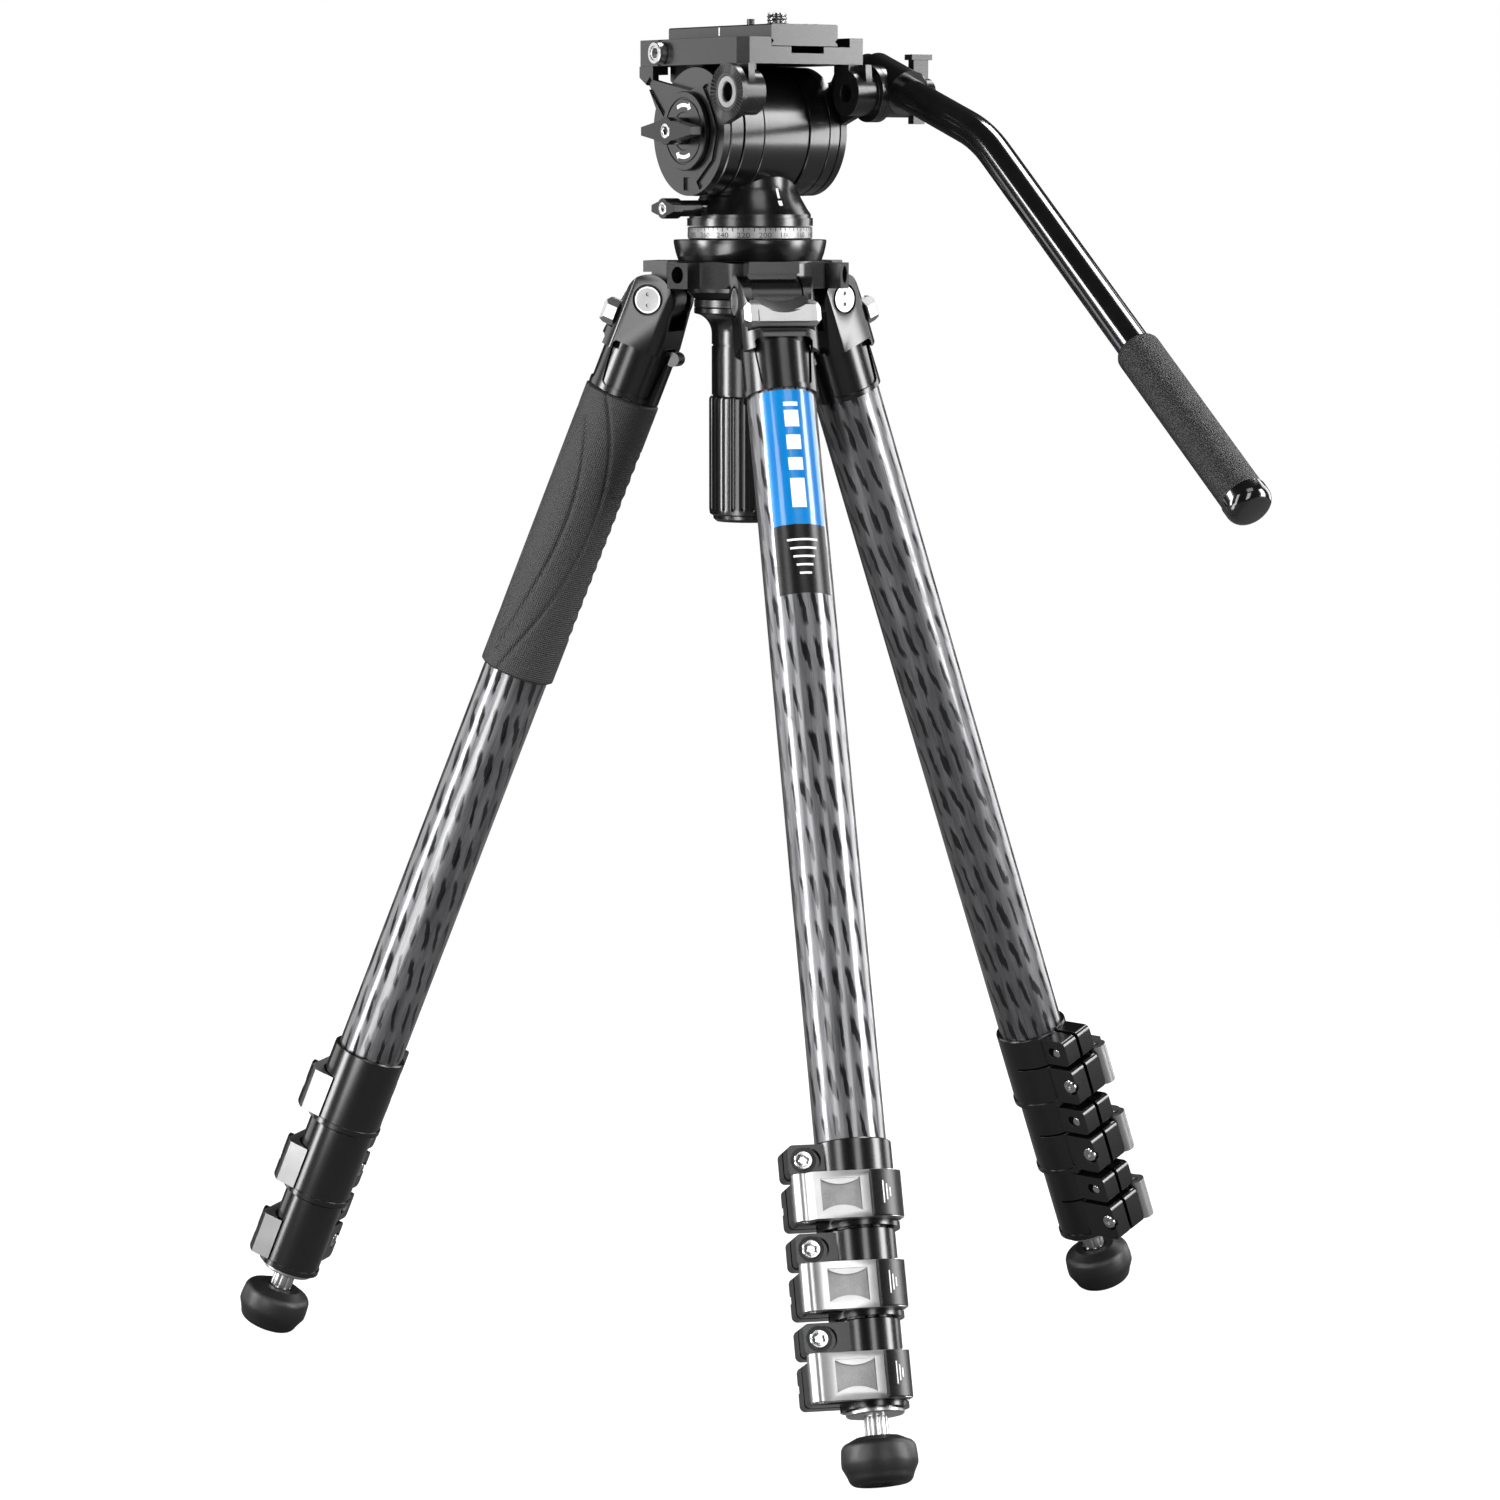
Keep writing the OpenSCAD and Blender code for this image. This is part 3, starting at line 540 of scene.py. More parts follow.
def wrapped_text(words, size, radius, degree, base):
    """Lettering wrapped round a cylinder about Z, centred on an angle."""
    widen = 1.25
    curve = bpy.data.curves.new("words", "FONT")
    curve.body = words
    curve.size = size
    curve.align_x = "CENTER"
    curve.extrude = 0.02
    curve.resolution_u = 3
    holder = bpy.data.objects.new("words", curve)
    bpy.context.scene.collection.objects.link(holder)
    mesh = bpy.data.meshes.new_from_object(holder.evaluated_get(bpy.context.evaluated_depsgraph_get()))
    bpy.data.objects.remove(holder)
    bpy.data.curves.remove(curve)
    bm = bmesh.new()
    bm.from_mesh(mesh)
    bpy.data.meshes.remove(mesh)
    for vert in bm.verts:
        a = math.radians(degree) + vert.co.x * widen / radius
        reach = radius + vert.co.z
        vert.co = Vector((reach * math.cos(a), reach * math.sin(a), base + vert.co.y))
    return bm


def socket_head(radius, height, key, base, deep):
    """A cap screw's head on +Z from base, with a hexagon socket."""
    top = base + height
    edge = radius * 0.1
    return turned([(0, base), (radius, base), (radius, top - edge), (radius - edge, top), (key * 1.08, top),
                   (key, top - 0.15, 6), (key, top - deep, 6), (0, top - deep)], 48)


# ---- legs ----

def leg_tubes(leg):
    """Carbon tubes of a leg; each inner one has a thicker guide bush at its top."""
    wall, guide_gap, bush_long, chamfer = 1.3, 1.6, 25, 0.3
    for k, radius in enumerate(TUBE_R, 1):
        node = f"tube_{k}_{leg}"
        start, end = down_leg(leg, node)
        if k == len(TUBE_R):
            end = FOOT_MID - FLANGE - 0.5
        inner = radius - wall
        rows = [(inner, -start), (radius, -start - chamfer), (radius, -end + chamfer), (inner, -end)]
        if k > 1:
            guide = TUBE_R[k - 2] - guide_gap
            bush = [(guide, -start - 0.5), (guide, -start - bush_long), (radius, -start - bush_long)]
            rows = rows[:1] + bush + rows[2:]
        tube = looped(refined(rows))
        body = leg if k == 1 else f"{leg}_section_{k}"
        piece(f"carbon_tube_{k}_{leg}", tube, body, "carbon", LEG_FRAME[leg], replaces=[node])


def leg_lock(leg, k):
    """A flip lock: its casting with a clamp screw and an adjusting nut, and its lever.

    Places are in the leg's own frame, moved down it to the middle of the lever.
    """
    host = leg if k == 1 else f"{leg}_section_{k}"
    lever = f"{leg}_lever_{k}"
    tag = f"{k}_{leg}"
    hinge = LEG_FRAME[leg].inverted() @ spot(lever + "_open")
    place = LEG_FRAME[leg] @ at(z=hinge.z)
    casting(f"collar_{tag}", "satin", bevel=0.5)
    screw_x, screw_z, screw_front, screw_back = -24.6, 18.1, -9.8, 8.6
    nut_x, nut_z, nut_back = -26.4, -1.1, 8.2
    turn = 12 * k                  # the screws stop at different angles
    head = place @ facing((screw_x, screw_front, screw_z), (0, -1, 0), turn)
    # Painted shade: a black ring round the clamp screw's head
    piece(f"clamp_screw_shade_ring_{tag}", ring_of(4.4, 5.8, -0.5, 0.25, 48), host, "dark", head)
    piece(f"clamp_screw_{tag}", socket_head(4.2, 1.4, 2.1, -0.5, 1.2), host, "steel", head)
    end = turned([(0, 0), (2.6, 0), (2.6, 1.0), (2.0, 1.5), (0, 1.5)], 32)
    tail = place @ facing((screw_x, screw_back, screw_z), (0, 1, 0))
    piece(f"screw_end_{tag}", end, host, "steel", tail)
    nut = turned([(0, 0), (3.9, 0), (3.9, 1.2, 12), (3.2, 1.8), (1.6, 1.8, 6), (1.6, 0.8, 6), (0, 0.8)], 48)
    seat = place @ facing((nut_x, nut_back, nut_z), (0, 1, 0), 20)
    piece(f"adjusting_nut_{tag}", nut, host, "steel", seat)
    flip_lever(tag, lever, hinge, COLLAR_R[k - 1], place)


def flip_lever(tag, body, hinge, collar_r, place):
    """A lever: casting, hinge pin, the pocket in its outer face with a darker sheet of painted shade on its
    floor, and the black end cap with three marks.
    """
    casting(f"lever_{tag}", "silver", bevel=0.4)
    pin_r, pin_half = 1.5, LEVER_HALF - 0.1
    pin = turned([(0, -pin_half), (pin_r, -pin_half), (pin_r, pin_half), (0, pin_half)], 32)
    piece(f"lever_pin_{tag}", pin, body, "steel", place @ at(hinge.x, hinge.y))
    pocket_x, pocket_out = hinge.x + 15.6, collar_r + 2.82
    pocket = place @ facing((pocket_x, -pocket_out, 0), (0, -1, 0))
    # Painted shade: a darker, rougher silver sheet laid on the pocket's floor stands in for the shade of the
    # hollow
    pocket_shade_sheet = prism(round_rect(17.6, 14.2, 0.6), 0.02, 0.1)
    piece(f"lever_pocket_shade_{tag}", pocket_shade_sheet, body, "blasted", pocket)
    end_half, end_out = 9, 7.3
    for j, side in enumerate((-1, 1), 1):
        edge = [(end_half, side * end_out), (-end_half, side * end_out)]
        edge += hollow(end_half, side * (end_out - 0.1), side * (end_out - 2.7), 10)
        piece(f"pocket_end_{j}_{tag}", prism(edge, 0.0, 1.1), body, "silver", pocket, bevel=0.25)
    rim = collar_r + 6.6
    cap_left, cap_right = 1.5, collar_r - 1.2
    start, end = [270 + math.degrees(math.asin(x / rim)) for x in (cap_left, cap_right)]
    cap = shell(collar_r + 0.9, 6.0, start, end, -LEVER_HALF, LEVER_HALF, 14, 2)
    piece(f"lever_cap_{tag}", cap, body, "plastic", place, bevel=0.5)
    for j in (0, 1, 2):
        left = start + 12 + 4 * j
        mark = shell(rim + 0.32, 0.06, left, left + 1.4, 1.5 * j - 4.9, 5.1 - 1.5 * j, 2, 1)
        piece(f"lever_mark_{j + 1}_{tag}", mark, body, "white", place)


def leg_foot(leg):
    """Rubber foot, fluted stud and the plug that closes the lowest tube."""
    place = LEG_FRAME[leg]
    body = leg + "_section_4"
    low, high = -FOOT_MID - 10.25, -FOOT_MID + 10.5
    tread = 11.0
    rows = [(0, low + 1.6), (3.2, low + 1.6), (3.2, low), (tread, low)]
    rows += [(tread + 3.6 * math.sin(t), low + 4.2 - 4.2 * math.cos(t)) for t in steps_to(0.2, 1.35, 6)]
    rows += [(15.2, low + 4.9), (16.9, low + 8.3), (17.0, low + 10.4), (16.9, low + 12.4)]
    rows += [(13.4 + 3.4 * math.cos(t), high - 6.5 + 4.5 * math.sin(t)) for t in steps_to(0.35, 1.4, 6)]
    rows += [(10, high - 0.1), (6.6, high), (5.6, high - 0.8), (5.6, high - 5), (0, high - 5)]
    piece(f"rubber_foot_{leg}", turned(rows), body, "rubber", place, replaces=[f"foot_{leg}"], smooth=24)
    stud_r = 5.2
    flange = -FOOT_MID + FLANGE

    def flute(a):
        return stud_r + 0.1 - 0.75 * max(0.0, math.cos(8 * a)) ** 2

    rows = [(0, high - 5), (stud_r, high - 5), (stud_r, high + 0.1), (flute, high + 0.6),
            (flute, flange - 4.4), (stud_r, flange - 3.9), (stud_r, flange - 3.4), (12.4, flange - 3.4),
            (13, flange - 2.8), (13, flange - 1.6), (10.4, flange - 1.4), (10.4, flange + 0.4),
            (0, flange + 0.4)]
    piece(f"foot_stud_{leg}", turned(rows), body, "silver", place, smooth=30)


def leg_top(leg):
    """Leg root and angle tab, with the rims round the pivot's flush heads."""
    casting(f"leg_root_{leg}", "satin", bevel=0.5)
    casting(f"angle_tab_{leg}", "silver", bevel=0.5)
    for side, name in ((-1, "left"), (1, "right")):
        face = LEG_FRAME[leg] @ facing((side * CHEEK, 0, 0), (side, 0, 0))
        rim = ring_of(5.5, 6.3, -0.4, 0.16, 64)
        piece(f"pivot_rim_{name}_{leg}", rim, "stand", "silver", face, bevel=0.1)
        piece(f"pivot_shade_{name}_{leg}", ring_of(6.4, 7.4, -1.6, -1.3, 64), leg, "dark", face)
        piece(f"root_rim_{name}_{leg}", ring_of(7.5, 8.2, -0.3, 0.1, 64), leg, "satin", face, bevel=0.1)


def sleeve(leg):
    """Foam sleeve with two leaf-shaped lines pressed into its outer side and ribs on both flanks."""
    low, high = down_leg(leg, "leg_sleeve")
    length = high - low
    bore, radius = TUBE_R[0] + 0.1, TUBE_R[0] + 2.3
    leaves = ((0.62, 0.1, 0.93), (1.35, -0.05, 1.08))      # half width in radians, start, end
    leaf_turn = math.radians(330)
    line_half, corner = 0.9, 1.2                           # half width of a line, round of the ends
    rib_turn, rib_half = 2.3, 0.45                         # in radians from the leaf's middle
    rib_pitch, rib_depth, rib_start, rib_end = 6.5, 0.5, 0.16, 0.84
    rings = 170

    def leaf_edge(t, reach, start, end):
        """Half width of a leaf outline at t along the sleeve, in radians."""
        if not start < t < end:
            return None
        return reach * math.sin(math.pi * ((t - start) / (end - start)) ** 0.8)

    def depth(t, a):
        side = math.atan2(math.sin(a - leaf_turn), math.cos(a - leaf_turn))
        cut = 0.0
        for leaf in leaves:
            edge = leaf_edge(t, *leaf)
            if edge is not None:
                near = abs(abs(side) - edge) * radius
                cut += math.exp(-(near / line_half) ** 2)
        flank = abs(abs(side) - rib_turn)
        if rib_start < t < rib_end and flank < rib_half:
            wave = rib_depth / 2 * (1 - math.cos(2 * math.pi * t * length / rib_pitch))
            cut += wave * math.cos(flank / rib_half * math.pi / 2)
        edge = min(t, 1 - t) * length
        if edge < corner:
            cut += corner - math.sqrt(max(0.0, corner ** 2 - (corner - edge) ** 2))
        return cut

    rows = [(bore, -low)]
    for i in range(rings + 1):
        t = i / rings
        rows.append(((lambda a, t=t: radius - depth(t, a)), -low - length * t))
    rows.append((bore, -high))
    piece("foam_sleeve", turned(rows, 180), leg, "knit", LEG_FRAME[leg], replaces=["leg_sleeve"], smooth=60)


def labels(leg):
    """A blue label and a black one below it, with plain generic marks."""
    place = LEG_FRAME[leg]
    front, half_wide, thick = 270, 48, 0.12
    skin = TUBE_R[0] + 0.02
    blue = shell(skin, thick, front - half_wide, front + half_wide, -114, -49, 32, 8)
    black = shell(skin, thick, front - half_wide, front + half_wide, -147, -114.2, 32, 8)
    piece("label_upper", blue, leg, "blue", place)
    piece("label_lower", black, leg, "plastic", place)
    ink = skin + thick + 0.01
    for j, (low, high) in enumerate(((-57, -55), (-67, -59), (-78, -71), (-88, -82), (-106, -92)), 1):
        mark = shell(ink, 0.03, front - 12, front + 12, low, high, 16, 4)
        piece(f"label_block_{j}", mark, leg, "white", place)
    for j in range(5):
        half, low = 26 - 4 * j, -122 - 4 * j
        mark = shell(ink, 0.03, front - half, front + half, low, low + 1, 12, 1)
        piece(f"label_bar_{j + 1}", mark, leg, "white", place)


# ---- spider, bowl and levelling ----

def stand():
    casting("spider", "anodised", bevel=0.45)
    casting("pivot_pins", "scale", bevel=0.25)


def levelling():
    """Half ball, degree ring with its scale, cup washer and the levelling handle."""
    half_ball()
    degree_scale()
    casting("seat_washer", "anodised", bevel=0.4)
    level_grip()


def half_ball():
    """The ball's zone with its bolt below, and its upper rim and spindle above."""
    ball_r, bolt_r, spindle_r = 36.5, 6, 12
    flat, zone, top = BALL.z - 32, 28.5, BALL.z - 3.7
    spindle_top = extent("half_ball")[1].z
    rows = [(0, BALL.z - 92), (bolt_r, BALL.z - 92), (bolt_r, flat)]
    rows += [(ball_r * math.cos(a), BALL.z + ball_r * math.sin(a))
             for a in steps_to(math.asin(-zone / ball_r), math.asin(-4.6 / ball_r), 28)]
    rows += [(36.1, top - 0.2), (35.7, top), (30.4, top), (30.2, top - 0.5), (29.8, top - 0.5), (29.6, top),
             (spindle_r, top), (spindle_r, spindle_top), (0, spindle_top)]
    piece("ball_half", turned(rows, 128), "ball", "satin", replaces=["half_ball"])


def degree_scale():
    """The silver ring under the turning base, with a tick every 5 degrees and a number every 20."""
    low, high = extent("degree_ring")
    r, bore, bevel = 29.5, 12.2, 0.5
    rows = [(bore, low.z), (r - bevel, low.z), (r, low.z + bevel), (r, high.z - bevel), (r - bevel, high.z),
            (bore, high.z)]
    piece("scale_ring", looped(rows, 144), "ball", "scale", replaces=["degree_ring"])
    ticks = []
    top, tick_half, long, short = high.z - bevel, 0.45, 1.6, 1.0
    for degree in range(0, 360, 5):
        base = top - (long if degree % 10 == 0 else short)
        ticks.append(shell(r - 0.03, 0.06, degree - tick_half, degree + tick_half, base, top, 1, 1))
    piece("scale_ticks", joined(*ticks), "ball", "dark")
    size, base = 3.4, low.z + 0.8
    numbers = [wrapped_text(str(degree), size, r + 0.02, 90 - degree, base) for degree in range(0, 360, 20)]
    piece("scale_numbers", joined(*numbers), "ball", "dark")


def level_grip():
    """The levelling handle: a flared neck, a ribbed grip and a rounded foot.

    Its top is a cup about the ball's centre, so that it clears the washer as the head tips.
    """
    low, high = extent("level_handle")
    ribs = 24
    grip_low, grip_high = low.z + 3, low.z + 59.5
    neck, neck_r, flare = high.z - 12.5, 18.2, 9.5
    groove_r = 17.6

    def rib(a):
        return 19.45 - 1.35 * max(0.0, math.cos(ribs * a)) ** 6

    rows = [(0, low.z + 0.8), (13, low.z + 0.8), (13.4, low.z), (15.8, low.z), (17.4, low.z + 1.4),
            (groove_r, grip_low), (neck_r, grip_low + 0.1), (19.1, grip_low + 0.7), (19.4, grip_low + 2.4),
            (rib, grip_low + 3.4), (rib, grip_high - 1.4), (19.1, grip_high - 0.5), (18.6, grip_high - 0.1),
            (groove_r, grip_high), (groove_r, grip_high + 0.5), (neck_r, grip_high + 0.6),
            (neck_r, neck - 5.6), (groove_r, neck - 5.5), (groove_r, neck - 4.7), (neck_r, neck - 4.6),
            (neck_r, neck + 0.6)]
    rows += [(neck_r + 0.05 + flare * (1 - math.cos(t)), neck + 0.6 + flare * math.sin(t))
             for t in steps_to(0.1, 1.15, 10)]
    rim = 26.5
    cup = math.hypot(rim, BALL.z - high.z)
    rows += [(rim - 0.3, high.z - 2.6), (rim, high.z - 2.2), (rim, high.z - 0.1)]
    rows += [(cup * math.sin(t), BALL.z - cup * math.cos(t))
             for t in steps_to(math.asin(rim / cup) - 0.004, 0.02, 16)]
    rows += [(0, BALL.z - cup)]
    piece("levelling_grip", turned(rows, 192), "level_handle", "satin", replaces=["level_handle"])
    piece("grip_sleeve", ring_of(17.7, 18.6, grip_low + 4, grip_high - 2), "level_handle", "rubber")


# ---- head ----

def pan_group():
    """The turning base with its index line, both wing levers and the drum."""
    casting("pan_base", "satin", bevel=0.4)
    base = extent("pan_base")[0].z
    piece("index_line", ribbon([(22.4, base + 17.6), (24.2, base + 13)], 0.6, 0.1), "pan", "white")
    piece("index_mark", ribbon([(24.9, base + 11.8), (26.1, base + 9.6)], 1.0, 0.1), "pan", "white")
    wing_lever("pan_lever", 4.4)
    wing_lever("tilt_lever", 5.2)
    drum()
    brake_dial()
    far_cap = [(0, 30), (8, 30), (8, 34.95), (11.6, 34.95), (12, 35.3), (12, 36.3), (11.6, 36.55),
               (6.4, 36.55), (5.8, 36), (0, 36)]
    piece("pivot_cap", turned(far_cap), "pan", "anodised", along_x(0, 0, TILT.z))


def wing_lever(node, boss_r):
    """A moulded wing lever on its stud, with the screw that holds it."""
    casting(node, "plastic", bevel=0.9)
    centre = spot(node + "_turn")
    place = facing((extent(node)[0].x + 0.2, centre.y, centre.z), (-1, 0, 0))
    screw_r, key = boss_r * 0.72, boss_r * 0.4
    piece(node + "_screw", socket_head(screw_r, 1.4, key, -1.0, 1.2), node, "steel", place)


def drum():
    """The tilt drum with its bevelled ends and four grooves, given as middle and width."""
    r, half, bevel, groove, lip = 30.3, 31.0, 0.6, 0.9, 0.15
    rows = [(0, -half), (r - bevel, -half), (r, -half + bevel)]
    for middle, width in ((-23.4, 1.1), (-12, 0.5), (13.2, 1.6), (25, 0.5)):
        left, right = middle - width / 2, middle + width / 2
        rows += [(r, left - lip), (r - lip, left), (r - groove, left)]
        rows += [(r - groove, right), (r - lip, right), (r, right + lip)]
    rows += [(r, half - bevel), (r - bevel, half), (0, half)]
    piece("drum_body", turned(rows, 160), "pan", "satin", along_x(0, 0, TILT.z), replaces=["tilt_drum"])


def brake_dial():
    """The brake dial on the drum's left end, with its two printed arrows."""
    back, face, r, hub_r, end = -34.95, -37.55, 18.5, 8, -47
    rows = [(0, -30), (hub_r, -30), (hub_r, back), (r - 0.4, back), (r, back - 0.45), (r, face + 0.5),
            (r - 0.4, face), (15.7, face), (15.4, face + 0.45), (14.9, face + 0.45), (14.6, face), (9, face),
            (8.7, face + 0.4), (3, face + 0.4), (3, end), (0, end)]
    piece("brake_dial", turned(rows, 128), "pan", "anodised", along_x(0, 0, TILT.z))
    low, high = face - 0.06, face + 0.05
    for j, middle in enumerate((0, 180), 1):
        shaft = flat_arc(11.3, 12.9, middle - 26, middle + 20, low, high)
        tip = prism([polar(10.2, middle + 20), polar(12.1, middle + 31), polar(14.0, middle + 20)], low, high)
        piece(f"dial_mark_{j}", joined(shaft, tip), "pan", "white", along_x(0, 0, TILT.z) @ turn_z(180))


def tilt_group():
    """Both side plates with their rosettes, and the clamp with its bolt."""
    boss_face = 41
    for side, name in ((-1, "left"), (1, "right")):
        casting("side_plate_" + name, "anodised", bevel=0.5)
        rosette(name, Vector((side * boss_face, ROSETTE.y, ROSETTE.z)), side)
    casting("qr_clamp", "anodised", bevel=0.4)
    clamp_bolt()


def rosette(name, centre, side):
    """Radial teeth round a steel insert, on the face of a boss."""
    teeth, root, tooth = 44, -0.1, 0.55

    def crest(a):
        return root + tooth * abs(2 * (teeth * a / (2 * math.pi) % 1) - 1)

    place = facing(centre, (side, 0, 0))
    ring = looped([(7.7, -0.6), (8.7, 0), (9.0, crest), (13.2, crest), (13.34, -0.5)], teeth * 2)
    piece(f"rosette_teeth_{name}", ring, "tilt", "anodised", place, smooth=4)
    insert = looped([(4.3, -6), (7.6, -6), (7.6, -0.4), (7.2, 0), (4.9, 0), (4.4, -0.5)], 64)
    piece(f"rosette_insert_{name}", insert, "tilt", "blasted", place)


def clamp_bolt():
    """The clamp's socket-head bolt and its shank."""
    head = extent("clamp_knob")[0].x
    centre = spot("clamp_knob_turn")
    rows = [(0, 4.8), (5.2, 4.8), (5.3, 4.7), (5.3, 0.4), (4.9, 0), (3.5, 0), (3.2, 0.5), (2.7, 0.6, 6),
            (2.7, 4.2, 6), (0, 4.2)]
    place = facing((head, centre.y, centre.z), (1, 0, 0))
    piece("clamp_bolt", turned(rows, 60), "clamp_knob", "silver", place, replaces=["clamp_knob"])
    shank = turned([(0, 0), (2.5, 0), (2.5, 8.0), (0, 8.0)], 48)
    place = facing((head + 4.4, centre.y, centre.z), (1, 0, 0))
    piece("clamp_bolt_shank", shank, "clamp_knob", "steel", place)


def plate_group():
    """The camera plate with its rubber strips and index line, and the camera screw."""
    casting("qr_plate", "anodised", bevel=0.3)
    low, high = extent("qr_plate")
    middle = (low.x + high.x) / 2
    screw = spot("camera_screw_turn")
    strip_half, strip_long = 0.9, 37.6
    for j, dx in enumerate((-10.6, -5.4, 5.4, 10.6), 1):
        x = middle + dx
        strip = block(x - strip_half, x + strip_half, -strip_long, strip_long, screw.z - 0.65, screw.z + 0.35)
        piece(f"grip_strip_{j}", strip, "plate", "rubber", bevel=0.3)
    index = block(low.x - 0.04, low.x + 0.1, -0.5, 0.5, screw.z - 4.6, screw.z - 0.8)
    piece("plate_index", index, "plate", "white")
    camera_screw(middle, screw.y, screw.z + 0.2)


def camera_screw(x, y, start):
    """The camera screw with its thread, which begins at the height start."""
    low, high = extent("camera_screw")
    end = high.z
    pitch, crest, root, runout = 25.4 / 16, 4.74, 4.15, 0.8

    def thread(z):
        def radius(a):
            phase = ((z - start) / pitch - a / (2 * math.pi)) % 1
            return root + (crest - root) * abs(2 * phase - 1) * min(1.0, (end - z) / runout)
        return radius

    rows = [(0, low.z + 1.0), (7.0, low.z + 1.0), (7.6, low.z + 0.4), (7.6, low.z + 2.6), (7.3, low.z + 2.9),
            (4.2, low.z + 2.9), (4.2, start)]
    rows += [(thread(z), z) for z in steps_to(start, end, 44)]
    rows += [(0, end)]
    piece("threaded_screw", turned(rows, 64), "camera_screw", "steel", at(x, y), replaces=["camera_screw"],
          smooth=50)


# ---- pan bar ----

def bar_line():
    """The bar's middle line from its front end: a straight run, a bend and a steeper straight run."""
    start = Vector((51, -22, ROSETTE.z + 11.9))
    fall_1, fall_2 = math.radians(19), math.radians(39.5)
    run_1, run_2, bend_r = 86, 234, 70
    first, last = bar_way(fall_1), bar_way(fall_2)
    points = [start + first * t for t in steps_to(0, run_1, 8)]
    centre = points[-1] + Vector((0, math.sin(fall_1), -math.cos(fall_1))) * bend_r
    for fall in steps_to(fall_1, fall_2, 12)[1:]:
        points.append(centre + Vector((0, -math.sin(fall), math.cos(fall))) * bend_r)
    end = points[-1]
    return points + [end + last * t for t in steps_to(0, run_2, 12)[1:]], last


def bar_way(fall):
    """The direction of a bar that falls towards the operator."""
    return Vector((0, -math.cos(fall), -math.sin(fall)))


def bar_group():
    """The bent bar with its clamp and knob, the foam grip and the end cap."""
    bar_r, grip_r, grip_long = 7.75, 10.3, 98
    points, last = bar_line()
    piece("bar_tube", swept(points, bar_r, 64), "bar", "gloss", replaces=["pan_bar"])
    grip = facing(points[-1] - last * grip_long, last)
    rows = [(bar_r + 0.05, 0.4), (8.6, 0), (9.6, 0.5), (10.2, 1.8)]
    rows += [(grip_r, z) for z in steps_to(3, grip_long - 1.5, 30)]
    rows += [(10.0, grip_long - 0.6), (bar_r, grip_long - 0.4)]
    piece("bar_foam", turned(rows), "bar", "foam", grip, replaces=["bar_grip"], smooth=60)
    edge, dome = grip_long + 3, 5.4
    rows = [(0, grip_long - 1.2), (10.4, grip_long - 1.2), (10.8, grip_long - 0.8), (10.8, edge)]
    rows += [(6.6 + 4.2 * math.cos(t), edge + dome * math.sin(t)) for t in steps_to(0.15, 1.45, 8)]
    rows += [(0, edge + dome)]
    piece("bar_cap", turned(rows), "bar", "gloss", grip, smooth=40)
    casting("bar_clamp", "satin", bevel=0.4)
    casting("bar_knob", "plastic", bevel=0.7)


# ---- stage ----

def round_about(bearing, distance, height):
    """A place in metres at an angle to the right of straight behind the operator."""
    return Vector((distance * math.sin(bearing), -distance * math.cos(bearing), height))


def camera():
    """The view: round to the operator's left, a little above the middle and looking slightly down."""
    pitch, distance, height = math.radians(6.34), 2.396, 0.566
    data = bpy.data.cameras.new("view")
    data.sensor_width = 36
    data.lens = 120.9
    seat = bpy.data.objects.new("view", data)
    seat.location = round_about(VIEW_AZIMUTH, distance, height)
    seat.rotation_euler = (math.pi / 2 - pitch, 0, VIEW_AZIMUTH)
    bpy.context.scene.collection.objects.link(seat)
    bpy.context.scene.camera = seat


def softbox(name, bearing, height, distance, size, power, aim=0.35):
    """An area light at a bearing, in degrees to the right of the camera, aimed at a height on the axis."""
    data = bpy.data.lights.new(name, "AREA")
    data.shape = "RECTANGLE"
    data.size, data.size_y = size
    data.energy = power
    lamp = bpy.data.objects.new(name, data)
    lamp.location = round_about(VIEW_AZIMUTH + math.radians(bearing), distance, height)
    look = Vector((0, 0, aim)) - lamp.location
    lamp.rotation_euler = look.to_track_quat("-Z", "Y").to_euler()
    bpy.context.scene.collection.objects.link(lamp)


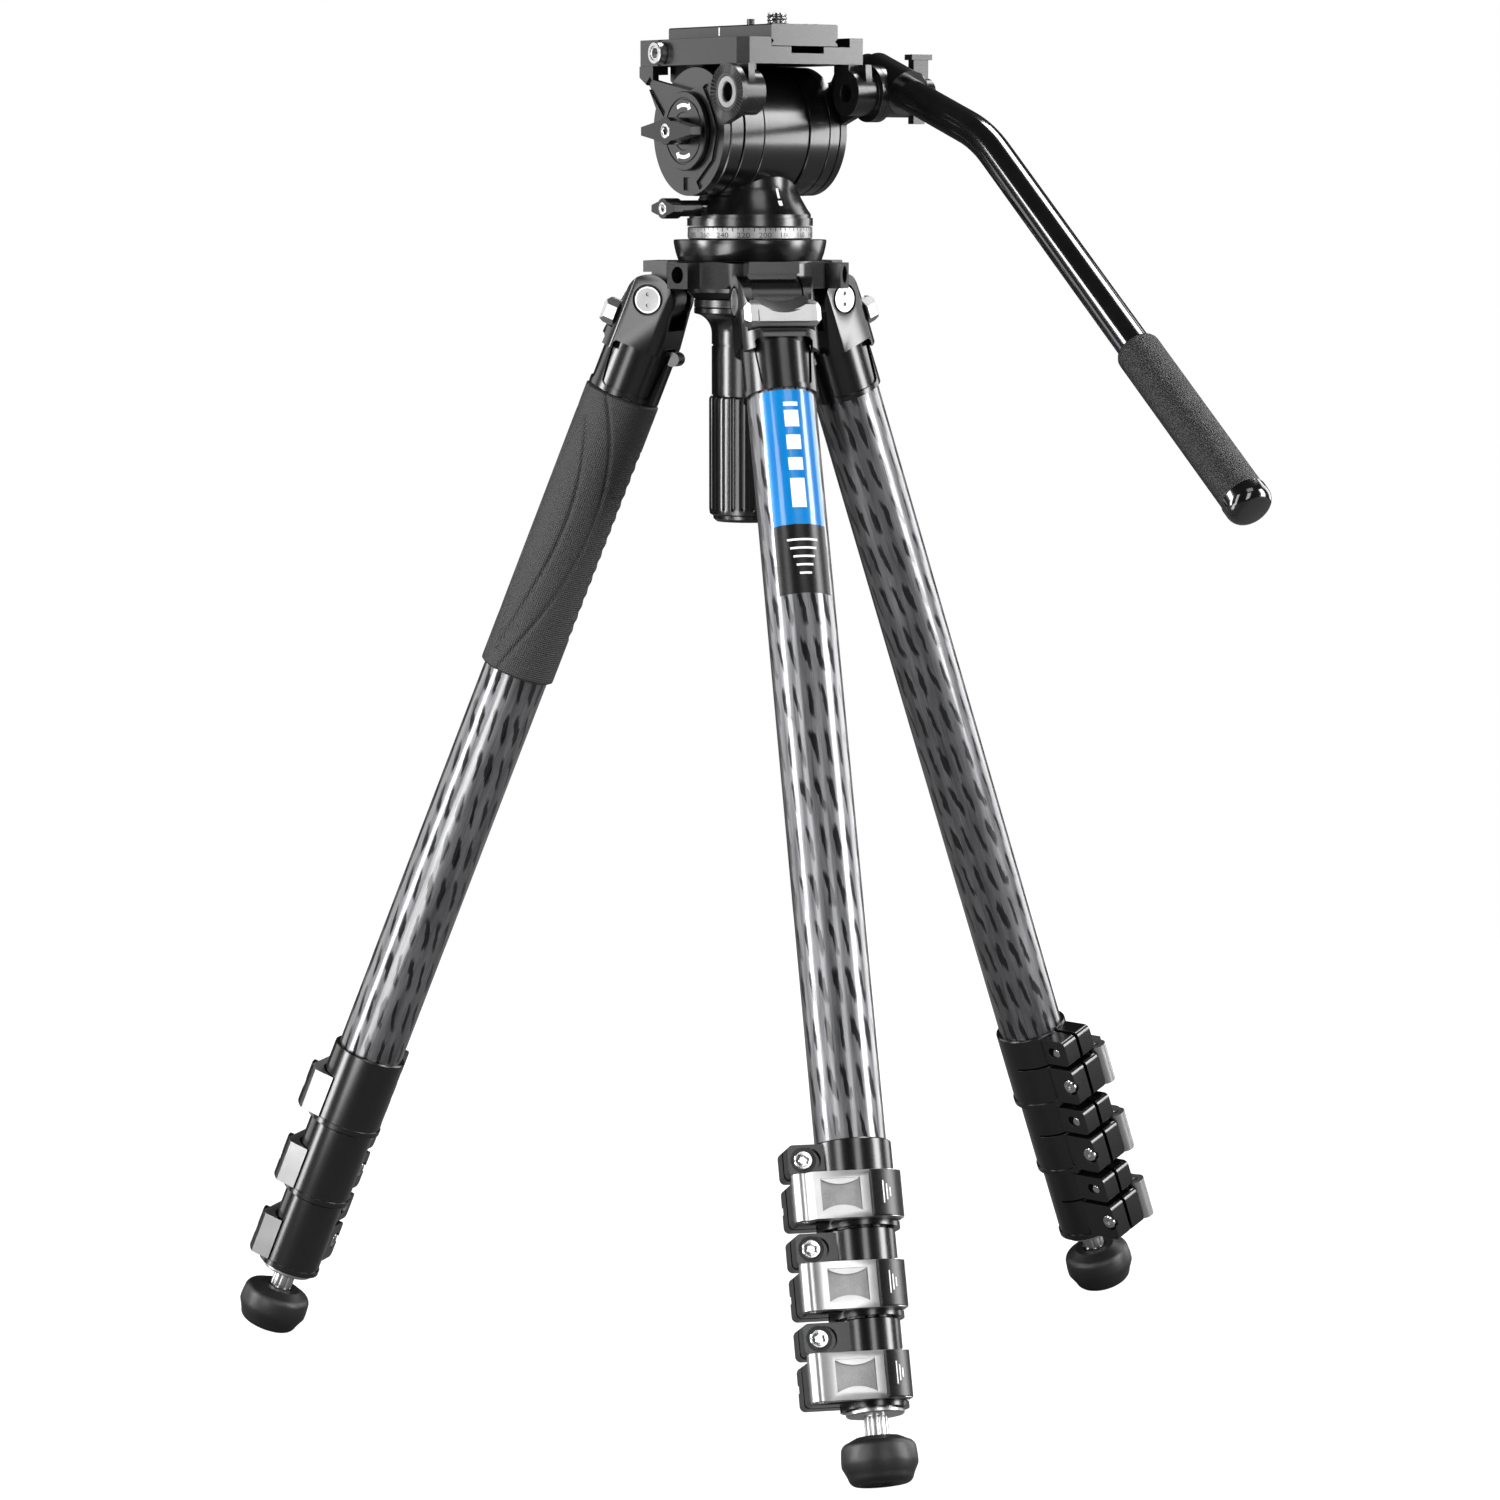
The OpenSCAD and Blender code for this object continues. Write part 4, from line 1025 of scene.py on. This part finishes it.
def lights():
    softbox("front", bearing=18, height=0.8, distance=2.0, size=(0.5, 1.5), power=13)
    softbox("overhead", bearing=24, height=2.3, distance=1.5, size=(1.0, 1.0), power=9)
    softbox("left_front", bearing=-34, height=0.56, distance=1.1, size=(0.26, 1.1), power=5.5)
    softbox("left", bearing=-76, height=0.7, distance=1.6, size=(0.36, 1.4), power=30)
    softbox("right", bearing=76, height=0.7, distance=1.6, size=(0.5, 1.4), power=34)
    softbox("back_left", bearing=-118, height=0.9, distance=2.0, size=(1.0, 1.8), power=10)
    softbox("back_right", bearing=125, height=0.9, distance=2.0, size=(1.0, 1.8), power=22)
    softbox("low_left", bearing=-42, height=0.12, distance=0.8, size=(0.3, 0.6), power=4, aim=2.5)
    softbox("top", bearing=136, height=2.2, distance=1.1, size=(0.8, 0.8), power=26)


def floor():
    """A pale floor to the camera that is dark to reflections, so that black parts stay black."""
    half = 1.25
    mesh = bpy.data.meshes.new("floor")
    mesh.from_pydata([(-half, -half, 0), (half, -half, 0), (half, half, 0), (-half, half, 0)], [],
                     [(0, 1, 2, 3)])
    s = Shader("floor_pale")
    tone = s.noise(s.scaled(3, 3, 3), 2.0)
    seen = s.node("ShaderNodeLightPath").outputs["Is Camera Ray"]
    s.surface({"Base Color": s.ramp(tone, (0.3, 0.13), (0.7, 0.15)), "Roughness": 0.9,
               "Emission Color": (1, 1, 1, 1), "Emission Strength": seen})
    mesh.materials.append(s.material)
    ground = bpy.data.objects.new("floor", mesh)
    bpy.context.scene.collection.objects.link(ground)


def surroundings():
    """White behind the object for the camera, and a dim room for everything else."""
    colour_a, colour_b, colour_out = 6, 7, 2      # the mix node's colour sockets
    world = bpy.data.worlds.new("studio")
    world.use_nodes = True
    tree = world.node_tree
    path = tree.nodes.new("ShaderNodeLightPath")
    mix = tree.nodes.new("ShaderNodeMix")
    mix.data_type = "RGBA"
    tree.links.new(path.outputs["Is Camera Ray"], mix.inputs["Factor"])
    mix.inputs[colour_a].default_value = (0.035, 0.035, 0.037, 1)
    mix.inputs[colour_b].default_value = (1, 1, 1, 1)
    tree.links.new(mix.outputs[colour_out], tree.nodes["Background"].inputs["Color"])
    bpy.context.scene.world = world
    bpy.context.scene.view_settings.view_transform = "Standard"


camera()
floor()
surroundings()
lights()
stand()
levelling()
pan_group()
tilt_group()
plate_group()
bar_group()
for leg in LEGS:
    leg_top(leg)
    leg_tubes(leg)
    for k in (1, 2, 3):
        leg_lock(leg, k)
    leg_foot(leg)
sleeve("leg2")
labels("leg1")
